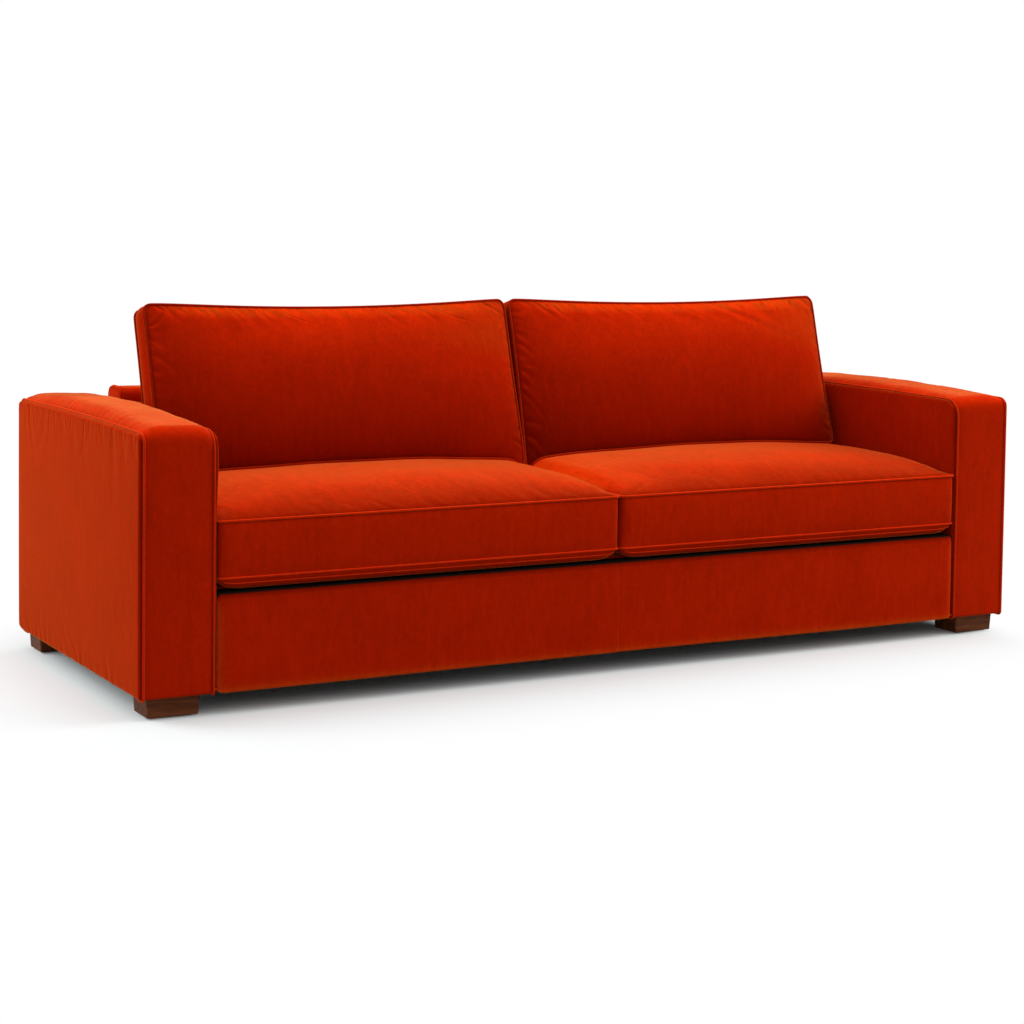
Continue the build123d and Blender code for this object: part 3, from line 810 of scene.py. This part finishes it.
def boxed(name, nu, nv, nw):
    """Two grids bridged by the boxing, with each vertex's share u, v of a panel and w from panel to panel."""
    pick()
    bpy.ops.mesh.primitive_grid_add(x_subdivisions=nu, y_subdivisions=nv, size=1)
    obj = bpy.context.object
    obj.name = obj.data.name = name
    bpy.ops.object.mode_set(mode="EDIT")
    bpy.ops.mesh.select_mode(type="EDGE")
    bpy.ops.mesh.select_all(action="SELECT")
    bpy.ops.mesh.duplicate_move(TRANSFORM_OT_translate={"value": (0, 0, -1)})
    bpy.ops.mesh.select_all(action="DESELECT")
    bpy.ops.mesh.select_non_manifold()
    bpy.ops.mesh.bridge_edge_loops(number_cuts=nw - 1)
    bpy.ops.object.mode_set(mode="OBJECT")
    face_out(obj)
    co = points(obj)
    u, v, w = co[:, 0] + 0.5, co[:, 1] + 0.5, -co[:, 2]
    return obj, crowd(np.clip(u, 0, 1)), crowd(np.clip(v, 0, 1)), np.clip(w, 0, 1)


def seam_ring(u, v, w, side):
    """Vertices of the seam round one panel, in order, starting at a corner."""
    rim = np.minimum(np.minimum(u, 1 - u), np.minimum(v, 1 - v))
    on = np.flatnonzero((np.abs(w - side) < SAME) & (rim < SAME))
    a, b = u[on] - 0.5, v[on] - 0.5
    edge = np.select([b < -0.4999, a > 0.4999, b > 0.4999], [0.5 + a, 1.5 + b, 2.5 - a], 3.5 - b)
    return on[np.argsort(edge)]


def inflate(obj, start, flat, axes, share, rings, frames, bend):
    """Blows a cushion up with its seams held, its flat panels cut larger than sewn by a share."""
    rest = start.copy()
    for k in axes:
        middle = start[:, k].mean()
        rest[flat, k] = middle + (start[flat, k] - middle) * share
    lay(obj, start)
    pick(obj)
    obj.shape_key_add(name="sewn")
    cut = obj.shape_key_add(name="cut")
    cut.data.foreach_set("co", rest.ravel())
    pinned = [int(p) for p in np.concatenate(rings)]
    obj.vertex_groups.new(name="pinned").add(pinned, 1.0, "REPLACE")
    cloth = obj.modifiers.new("Cloth", "CLOTH")
    feel = cloth.settings
    feel.quality = 6
    feel.mass = 0.02
    feel.tension_stiffness = feel.compression_stiffness = STIFFNESS
    feel.shear_stiffness = STIFFNESS * 0.4
    feel.bending_stiffness = bend
    feel.air_damping = 2.0
    feel.use_pressure = True
    feel.uniform_pressure_force = PRESSURE
    feel.effector_weights.gravity = 0
    feel.vertex_group_mass = "pinned"
    feel.rest_shape_key = cut
    cloth.collision_settings.use_collision = False
    cloth.point_cache.frame_start, cloth.point_cache.frame_end = 1, frames
    for number in range(1, frames + 1):
        scene.frame_set(number)
    shaped = obj.evaluated_get(bpy.context.evaluated_depsgraph_get()).to_mesh()
    co = np.empty(len(shaped.vertices) * 3)
    shaped.vertices.foreach_get("co", co)
    obj.modifiers.remove(cloth)
    obj.shape_key_clear()
    obj.vertex_groups.clear()
    scene.frame_set(1)
    return co.reshape(-1, 3)


# %% Finer cloth, folds and seams
def finer(obj, co, u, v, w, rings):
    """Lays a cushion's points, subdivides it with its seams kept tight, and gives the new u, v, w."""
    lay(obj, co)
    face_out(obj)
    mesh = obj.data
    sewn = np.zeros(len(mesh.vertices), int)
    for k, ring in enumerate(rings):
        sewn[ring] = k + 1
    ends = np.empty(len(mesh.edges) * 2, int)
    mesh.edges.foreach_get("vertices", ends)
    a, b = sewn[ends.reshape(-1, 2)].T
    mesh.attributes.new("crease_edge", "FLOAT", "EDGE").data.foreach_set("value", 0.55 * ((a > 0) & (a == b)))
    for key, value in (("u", u), ("v", v), ("w", w)):
        mesh.attributes.new(key, "FLOAT", "POINT").data.foreach_set("value", value)
    modify(obj, "SUBSURF", levels=2, render_levels=2)
    mesh, shares = obj.data, []
    for key in ("u", "v", "w"):
        value = np.empty(len(mesh.vertices))
        mesh.attributes[key].data.foreach_get("value", value)
        shares.append(np.clip(value, 0, 1))
        mesh.attributes.remove(mesh.attributes[key])
    mesh.attributes.remove(mesh.attributes["crease_edge"])
    return shares


def fold(obj, height):
    """Moves points along their normals."""
    normal = np.empty(len(obj.data.vertices) * 3)
    obj.data.vertices.foreach_get("normal", normal)
    lay(obj, points(obj) + height[:, None] * normal.reshape(-1, 3))


def seam_line(ring, spans, bias, proud):
    """The seam round a panel, moved out of the cushion by as much as its welt stands proud."""
    out = ring - ring.mean(0)
    out = np.sign(out) * np.abs(out * spans) ** 12 + bias
    return ring + proud * out / np.linalg.norm(out, axis=1)[:, None]


# %% [markdown]
# A seat cushion is firm: a foam block in a cover. Its boxing stays upright and its seams nearly straight,
# while the top crowns by about 60 mm and the bottom swells until it lies flat on the deck, with a soft
# lip over the border. The simulated swelling is blended with that crown and scaled to its height, so that
# the cushion stays in the room that the CAD model gives it. The top is painted darker towards the front,
# as painted shade, and lighter and more orange towards the back and the ends, as painted sheen.

# %% Seat cushions
SEAT_X = (0.0040, 0.980)
SEAT_Y = (-0.432, 0.148)
SEAT_Z = (0.287, 0.407)
SEAT_LONG, SEAT_DEEP, SEAT_HIGH = (high - low for low, high in (SEAT_X, SEAT_Y, SEAT_Z))
SEAT_CROWN = 0.059
SEAT_BELLY, BELLY_TURN = 0.0240, 0.030
END_TURN = 0.05
seat_tree = {}


def seat_top(ahead, behind, ends, a):
    """Height of the seat above its seam: steep at the ends, long and easy towards the front."""
    crown = 0.040 * quarter(ends / END_TURN) + 0.019 * (1 - a * a)
    return swell(ahead / 0.24) * swell(behind / 0.13) * crown


def seat_belly(ahead, behind, ends):
    """Depth of the seat below its lower seam, with a soft lip behind the front edge."""
    rim = np.minimum(ahead, behind)
    lip = 0.0042 * np.exp(-(((ahead - 0.017) / 0.011) ** 2))
    belly = (SEAT_BELLY * quarter(rim / BELLY_TURN) + lip) * quarter(ends / END_TURN)
    return belly * np.clip(rim / 0.002, 0, 1)


def seat_trim(side, sign, final, u, v, w):
    """Welts along both seams and the stitched hem under the front edge."""
    body = f"seat_cushion_{side}"
    spans = (2 / SEAT_LONG, 2 / SEAT_DEEP, 0)
    for k, where, radius, proud, rise in ((0, "top", 0.0027, 0.0016, 0.3), (1, "low", 0.0021, 0.0012, 0)):
        line = seam_line(final[seam_ring(u, v, w, k)], spans, (0, 0, rise), proud)
        welt(f"seat_{where}_welt_{side}", line, body, radius, closed=True)
    hem, count = 0.0032, 160
    xs = np.linspace(SEAT_X[0] + 0.012, SEAT_X[1] - 0.012, count)
    ends = np.minimum(xs - SEAT_X[0], SEAT_X[1] - xs)
    dip = (SEAT_BELLY * quarter(hem / BELLY_TURN) + 0.0008) * quarter(ends / END_TURN)
    line = np.stack([sign * xs, np.full(count, SEAT_Y[0] + hem - 0.0012), SEAT_Z[0] - dip - 0.0006], 1)
    welt(f"seat_hem_{side}", line, body, 0.0011)


def seat_cushion(side, sign, seed):
    obj, u, v, w = boxed(f"seat_cushion_cover_{side}", 62, 38, 8)
    x, y = SEAT_X[0] + u * SEAT_LONG, SEAT_Y[0] + v * SEAT_DEEP
    z = SEAT_Z[1] - w * SEAT_HIGH
    for cx, tx in ((SEAT_X[0], -1), (SEAT_X[1], 1)):
        for cy, ty, radius in ((SEAT_Y[0], -1, 0.009), (SEAT_Y[1], 1, 0.022)):
            x, y = round_corner(x, y, (cx, cy), (tx, ty), radius)
    a, b = 2 * u - 1, 2 * v - 1
    x = x - np.sign(a) * 0.002 * np.abs(a) ** 3 * (1 - b * b)
    top, low = w < SAME, w > 1 - SAME
    ahead, behind, ends = v * SEAT_DEEP, (1 - v) * SEAT_DEEP, np.minimum(u, 1 - u) * SEAT_LONG
    full, belly = seat_top(ahead, behind, ends, a), seat_belly(ahead, behind, ends)
    dice = np.random.default_rng(seed)
    slack = 1 + 0.05 * np.sin(5 * a + dice.uniform(0, 6)) * np.sin(4 * b + dice.uniform(0, 6))
    z = z + np.where(top, 0.75 * slack * full, 0) - np.where(low, 0.8 * belly, 0)
    start = np.stack([x, y, z], 1)
    rings = [seam_ring(u, v, w, 0), seam_ring(u, v, w, 1)]
    flat = top | low
    grown = inflate(obj, start, flat, (0, 1), 1.02, rings, 20, 0.5)
    rise = grown[:, 2] - SEAT_Z[1]
    print(obj.name, "rise", round(rise[top].max(), 4))
    co = start.copy()
    co[top] = grown[top]
    co[top, 2] = SEAT_Z[1] + 0.65 * full[top] + 0.35 * rise[top] * SEAT_CROWN / rise[top].max()
    co[low, 2] = SEAT_Z[0] - belly[low]
    boxing = ~flat
    co[boxing] += np.clip(grown - start, -0.003, 0.003)[boxing]
    bulge = 0.004 * np.sin(np.pi * w) * np.where(v < SAME, -1, np.where(v > 1 - SAME, 1, 0))
    co[boxing, 1] += bulge[boxing]
    co[:, 0] *= sign
    u, v, w = finer(obj, co, u, v, w, rings)
    x, y = SEAT_X[0] + u * SEAT_LONG, SEAT_Y[0] + v * SEAT_DEEP
    ahead, ends = v * SEAT_DEEP, np.minimum(u, 1 - u) * SEAT_LONG
    away = np.minimum(np.minimum(v, 1 - v) * SEAT_DEEP, ends)
    folds = puckers(x, ahead, "seat_front", seed)
    folds += puckers(y, u * SEAT_LONG, "seat_inner_end", seed + 1)
    folds += puckers(y, (1 - u) * SEAT_LONG, "seat_outer_end", seed + 2)
    soft = 0.0012 * np.sin(17 * x + 9 * y + seed) * np.sin(23 * y - 6 * x)
    fold(obj, np.where(w < SAME, folds * np.clip(away / 0.01, 0, 1) + soft * np.clip(away / 0.08, 0, 1), 0))
    # Distance to the seams, for the painted shade along them; none on the bottom panel.
    seam = np.where(away > SAME, away, np.minimum(w, 1 - w) * SEAT_HIGH)
    seam = np.where(w > 0.75, 1.0, seam)
    # Painted shade at the front of the top, painted sheen towards its back and at its ends.
    painted_light = 0.50 * np.clip(1 - ahead / 0.14, 0, 1) - 0.95 * np.clip((ahead - 0.14) / 0.28, 0, 1)
    painted_light -= 0.55 * np.clip(1 - ends / 0.18, 0, 1) * np.clip(ahead / 0.10, 0, 1)
    painted_light = np.where(w < SAME, painted_light, 0)
    dress(obj, f"seat_cushion_{side}", instead=[f"seat_cover_{side}"], seam=seam, painted_light=painted_light)
    final = points(obj)
    seat_trim(side, sign, final, u, v, w)
    faces = [tuple(p.vertices) for p in obj.data.polygons]
    seat_tree[side] = BVHTree.FromPolygons([Vector(p) for p in final], faces)


for seed, (side, sign) in enumerate(SIDES):
    seat_cushion(side, sign, 31 + 3 * seed)

# %% [markdown]
# A back cushion is loose fibre in a boxed cover: full in the middle, slack at the seams. Its top seam
# dips between the corners and short folds gather along it. It is blown up standing straight, then leaned
# back on the inside pad, and its lower edge is pressed to the crown of the seat cushion that it stands
# on.

# %% Back cushions
BACK_X = (0.0025, 0.946)
BACK_LONG = BACK_X[1] - BACK_X[0]
BACK_HIGH, BACK_DEEP = 0.407, 0.093
BACK_FOOT = np.array((0.010, 0.4447))
BACK_FRONT, BACK_REAR = 0.052, 0.082
LEAN = math.radians(16)
SEAT_CLEAR = 0.0035


def lean_back(co, sign):
    """Turns an upright cushion to its lean, on its own side of the sofa."""
    across, tall = co[:, 1].copy(), co[:, 2].copy()
    co[:, 1] = BACK_FOOT[0] + tall * math.sin(LEAN) + across * math.cos(LEAN)
    co[:, 2] = BACK_FOOT[1] + tall * math.cos(LEAN) - across * math.sin(LEAN)
    co[:, 0] *= sign


def press_on_seat(co, v, side):
    """Presses the lower edge of a leaning cushion to the crown of the seat cushion under it."""
    near = np.clip(1 - v / 0.30, 0, 1) ** 2
    lift = np.zeros(len(co))
    for k in np.flatnonzero(near > 0):
        hit = seat_tree[side].ray_cast(Vector((co[k, 0], co[k, 1], 0.8)), Vector((0, 0, -1)))[0]
        ground = (hit.z if hit else 0.40) + SEAT_CLEAR
        base = BACK_FOOT[1] - (co[k, 1] - BACK_FOOT[0]) * math.tan(LEAN)
        lift[k] = near[k] * np.clip(ground - base, -0.022, 0.04)
    co[:, 2] += lift


def back_painted_light(u, v, w, sign):
    """Painted shade low down, at the left and on the boxing; painted sheen along the top and at the right."""
    from_left = u * BACK_LONG if sign > 0 else (1 - u) * BACK_LONG
    painted_light = 0.60 * np.clip(1 - v / 0.75, 0, 1) ** 1.2 + 0.14 * np.clip(1 - from_left / 0.35, 0, 1)
    painted_light -= 0.10 * np.clip((from_left - BACK_LONG + 0.30) / 0.30, 0, 1)
    rim = np.clip(1 - (1 - v) * BACK_HIGH / 0.040, 0, 1)
    rim *= np.clip(np.minimum(u, 1 - u) * BACK_LONG / 0.15, 0, 1)
    painted_light -= 0.02 * np.clip((v - 0.55) / 0.25, 0, 1) + 0.75 * rim
    return np.where(w < SAME, painted_light, 0.16)


def back_cushion(side, sign, seed):
    obj, u, v, w = boxed(f"back_cushion_cover_{side}", 70, 32, 7)
    inner = BACK_X[0] + 0.006 * v
    x, h = inner + u * (BACK_X[1] - inner), v * BACK_HIGH
    for cx, tx in ((inner, -1), (BACK_X[1], 1)):
        for cy, ty in ((0, -1), (BACK_HIGH, 1)):
            x, h = round_corner(x, h, (cx, cy), (tx, ty), 0.018)
    a, b = 2 * u - 1, 2 * v - 1
    x = x - np.sign(a) * 0.003 * np.abs(a) ** 3 * (1 - b * b)
    h = h - np.where(b > 0, 0.016 * b**3 * (1 - a * a), 0)
    front, rear = w < SAME, w > 1 - SAME
    tuck = np.where(a > 0, 0.014, 0.008) * np.abs(a) ** 10 + 0.004 * np.clip(b, 0, 1) ** 10
    seam_t = tuck * (1 - 2 * w)
    t = w * BACK_DEEP + seam_t
    dice = np.random.default_rng(seed)
    slack = 1 + 0.08 * np.sin(4 * a + dice.uniform(0, 6)) * np.sin(3 * b + dice.uniform(0, 6))
    dome = slack * (1 - np.abs(a) ** 2.6) * (1 - np.abs(b) ** 2.2)
    t = t - np.where(front, 0.024 * dome, 0) + np.where(rear, 0.040 * dome, 0)
    start = np.stack([x, t, h], 1)
    rings = [seam_ring(u, v, w, 0), seam_ring(u, v, w, 1)]
    flat = front | rear
    grown = inflate(obj, start, flat, (0, 2), 1.04, rings, 24, 0.4)
    bulge = grown[:, 1] - np.where(front, 0, np.where(rear, BACK_DEEP, start[:, 1]))
    print(obj.name, "front", round(-bulge[front].min(), 4), "rear", round(bulge[rear].max(), 4))
    co = grown.copy()
    puffed = np.clip((bulge - seam_t) * np.where(front, -1, 1), 0, None)
    co[front, 1] = (seam_t - BACK_FRONT * (puffed / puffed[front].max()) ** 0.72)[front]
    co[rear, 1] = (BACK_DEEP + seam_t + BACK_REAR * puffed / puffed[rear].max())[rear]
    boxing = ~flat
    co[boxing] = start[boxing] + np.clip(co - start, -0.004, 0.004)[boxing]
    puff = 0.005 * np.sin(np.pi * w)
    co[boxing, 0] += (puff * np.where(u > 1 - SAME, 1, 0))[boxing]
    co[boxing, 2] += (puff * np.where(v > 1 - SAME, 1, 0))[boxing]
    lean_back(co, sign)
    press_on_seat(co, v, side)
    u, v, w = finer(obj, co, u, v, w, rings)
    x, h = BACK_X[0] + u * BACK_LONG, v * BACK_HIGH
    folds = puckers(x, BACK_HIGH - h, "back_top_short", seed, sign)
    folds += puckers(x, BACK_HIGH - h, "back_top_long", seed + 3, sign)
    folds += puckers(h, u * BACK_LONG, "back_end", seed + 1)
    folds += puckers(h, (1 - u) * BACK_LONG, "back_end", seed + 2)
    away = np.minimum(np.minimum(v, 1 - v) * BACK_HIGH, np.minimum(u, 1 - u) * BACK_LONG)
    soft = 0.0016 * np.sin(13 * x + 11 * h + seed) * np.sin(19 * h - 7 * x)
    folds = folds * np.clip(away / 0.010, 0, 1)
    soft = soft * np.clip(away / 0.08, 0, 1)
    fold(obj, np.where(w < SAME, folds + soft, np.where(w > 1 - SAME, 0.6 * folds, 0)))
    # Distance to the seams, for the painted shade along them.
    seam = np.where(away > SAME, away, np.minimum(w, 1 - w) * BACK_DEEP)
    painted_light = back_painted_light(u, v, w, sign)
    body = f"back_cushion_{side}"
    dress(obj, body, instead=[f"back_cover_{side}"], seam=seam, painted_light=painted_light)
    final = points(obj)
    spans = (2 / BACK_LONG, 0, 2 / BACK_HIGH)
    # The back welts are painted darker, as painted shade.
    for k, (where, out) in enumerate((("front", -0.4), ("rear", 0.4))):
        line = seam_line(final[seam_ring(u, v, w, k)], spans, (0, out, 0), 0.0018)
        welt(f"back_{where}_welt_{side}", line, body, 0.0032, closed=True, shade_and_sheen=0.45)


for seed, (side, sign) in enumerate(SIDES):
    back_cushion(side, sign, 41 + 5 * seed)

# %% [markdown]
# The feet are blocks of walnut with a satin oil finish. Their CAD shape is right, so only the wood is
# added: long grain along the sofa, darker pores along it, and a slow change of tone from block to block.


# %% Woods
def wood_finish(name, dark, mid, light, rough, scale):
    material, shader, place = new_material(name)
    grain = place.scaled(3 * scale, 34 * scale, 34 * scale)
    rings = grain.noise(1.0, 5.0, 0.6, 1.2)
    pores = place.scaled(60 * scale, 900 * scale, 900 * scale).noise(1.0, 2.0, 0.6)
    tone = (0.75 * rings + 0.25 * pores).span(0.32, 0.68)
    stops = [(0.0, dark), (1.0, light), (0.5, mid)]
    colour = tone.make("ShaderNodeValToRGB", {0: tone}, stops=stops)
    bump = (pores + 0.6 * rings).bump(0.25, 0.0006)
    feed(shader, Base_Color=colour, Roughness=rough + 0.2 * pores, Normal=bump, Specular_IOR_Level=0.10)
    return material


WALNUT = ((0.060, 0.015, 0.004, 1), (0.110, 0.030, 0.009, 1), (0.17, 0.052, 0.018, 1))
PINE = ((0.42, 0.27, 0.13, 1), (0.55, 0.38, 0.2, 1), (0.66, 0.49, 0.29, 1))
walnut = wood_finish("walnut", *WALNUT, 0.45, 1.0)
pine = wood_finish("pine", *PINE, 0.55, 0.7)
print("Woods:", walnut.name, pine.name)

# %% [markdown]
# Out of sight are the webbing, the foam and filling, the felt under the feet and the dust cloth. They
# still get their own finishes, since a cushion can be lifted out or the sofa turned over. The same black
# cloth edges the deck behind the front border as painted shadow: it makes the gap under the seat
# cushions read as a dark line.


# %% Hidden finishes
def woven_finish(name, a, b, pitch, rough):
    material, shader, place = new_material(name)
    rib = place.scaled(pitch, pitch, pitch)
    feeds = {"Vector": rib, "Scale": 1.0}
    warp, weft = (rib.make("ShaderNodeTexWave", feeds, out="Fac", bands_direction=way) for way in "XY")
    weave = warp * weft + 0.25 * place.noise(pitch * 3, 2.0)
    bump = weave.bump(0.4, 0.0008)
    colour = weave.clamp().mix(a, b)
    feed(shader, Base_Color=colour, Roughness=rough + 0.05 * weave, Normal=bump, Specular_IOR_Level=0.05)
    return material


def soft_finish(name, a, b, scale, rough):
    material, shader, place = new_material(name)
    cells = place.noise(scale, 3.0, 0.65)
    tone = cells.span(0.3, 0.7)
    bump = cells.bump(0.4, 0.001)
    feed(shader, Base_Color=tone.mix(a, b), Roughness=rough + 0.05 * cells, Normal=bump)
    return material


webbing = woven_finish("webbing", (0.05, 0.045, 0.04, 1), (0.22, 0.19, 0.15, 1), 160, 0.8)
dust_cloth = woven_finish("dust_cloth", (0.005, 0.003, 0.002, 1), (0.014, 0.010, 0.008, 1), 300, 0.9)
foam = soft_finish("foam", (0.72, 0.66, 0.45, 1), (0.82, 0.77, 0.58, 1), 420, 0.9)
felt = soft_finish("felt", (0.10, 0.085, 0.075, 1), (0.2, 0.18, 0.16, 1), 500, 0.92)
by_slot = {"foot_wood": walnut, "frame_wood": pine, "webbing": webbing, "dust_cloth": dust_cloth}
by_slot |= {"foam": foam, "felt": felt, "velvet": velvet}
print("Hidden finishes:", len(by_slot), "slots")

# %% Finishes on the CAD nodes
slots = {part["node"]: part["material_slot"] for part in frame["record"]["subparts"]}
shown = 0
for name, node in frame["nodes"].items():
    node.data.materials.clear()
    node.data.materials.append(by_slot[slots[name]])
    shown += not node.hide_render
EDGE_END = 0.9815
# Painted shadow: a strip of the near black dust cloth edges the deck under the gap below the seat cushions.
edge = [(-0.4286, 0.2534), (-0.4200, 0.2566, 0.006), (-0.386, 0.2575)]
strip("deck_edge_shadow_cloth", edge, EDGE_END, [], 0.0, 0.003, dust_cloth)
dress(dust, "frame", dust_cloth, instead=["dust_cover"])
print("CAD nodes that stay in view:", shown)

# %% [markdown]
# The photograph was taken on a white sweep, so floor and background are white and only a soft shadow
# grounds the sofa. The floor is a plain white plane that shows its shadow to the camera but returns less
# light to the sofa. It fades to pure white away from the footprint, and it is a touch cool, so that the
# red light thrown back by the velvet doesn't tint it. The world is white to the camera and dimmer as a
# light.

# %% Floor and background
pick()
bpy.ops.mesh.primitive_plane_add(size=40, location=(0, 0, -0.0005))
floor = bpy.context.object
floor.name = "floor"
material, shader, place = new_material("floor")
tree = material.node_tree
view = place.in_view()
FLOOR_LIT, FLOOR_SEEN = (0.45, 0.45, 0.45, 1), (0.91, 0.98, 0.98, 1)
feed(shader, Base_Color=view.mix(FLOOR_LIT, FLOOR_SEEN), Roughness=0.9, Specular_IOR_Level=0.0)
east = place.make("ShaderNodeSeparateXYZ", {0: place}, out="X")
north = place.make("ShaderNodeSeparateXYZ", {0: place}, out="Y")
beside = east.math("MAXIMUM", -1.0 - east, 3.2 * (east - 1.03))
beside = east.math("MAXIMUM", beside, 0.0)
before = north.math("MAXIMUM", north.math("ABSOLUTE", north) - 0.30, 0.0)
reach = beside.math("SQRT", beside * beside + before * before).span(0.0, 0.60)
white = place.make("ShaderNodeEmission")
mixed = place.make("ShaderNodeMixShader", {0: reach * view, 1: Shade(shader.outputs[0]), 2: white})
tree.links.new(mixed.socket, tree.nodes["Material Output"].inputs["Surface"])
floor.data.materials.append(material)
floor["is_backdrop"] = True
print("Floor at", tuple(floor.location))

# %% World
world = scene.world or bpy.data.worlds.new("studio")
scene.world = world
world.use_nodes = True
sky = world.node_tree
back = sky.nodes["Background"]
rays = Shade(back.outputs[0]).in_view()
back.inputs["Color"].default_value = (1, 1, 1, 1)
sky.links.new((0.58 + 0.42 * rays).socket, back.inputs["Strength"])
print("World nodes:", len(sky.nodes))


# %% [markdown]
# Four large soft boxes light the sofa: a wide one overhead, one behind to the left that makes the arm and
# cushion tops glow, a weak one for the left side and one from the right for the fronts. Big lamps give
# soft shadows, and a velvet sheen needs light from behind. Their strengths were set by comparing the
# render's colours with the photograph's, region by region.


# %% Studio lights
def soft_box(name, spot, aim, size, power):
    bpy.ops.object.light_add(type="AREA", location=spot)
    lamp = bpy.context.object
    lamp.name = name
    lamp.rotation_euler = (Vector(aim) - Vector(spot)).to_track_quat("-Z", "Y").to_euler()
    lamp.data.shape = "RECTANGLE"
    lamp.data.size, lamp.data.size_y = size
    lamp.data.energy = power


soft_box("overhead", (-0.2, -0.4, 3.4), (0, 0, 0.2), (4.6, 3.2), 30)
soft_box("left_rear", (-3.6, 2.2, 2.4), (-0.4, 0, 0.5), (2.2, 2.2), 80)
soft_box("left", (-4.4, 0.6, 1.6), (-1.1, 0, 0.35), (2.0, 2.0), 17)
soft_box("right", (4.2, -2.0, 2.6), (0.4, 0, 0.4), (2.4, 2.4), 118)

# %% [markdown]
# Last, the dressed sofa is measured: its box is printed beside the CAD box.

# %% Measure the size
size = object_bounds()
for name, box in (("CAD", cad_box), ("visual", size)):
    print(name, [[round(v, 4) for v in c] for c in box])
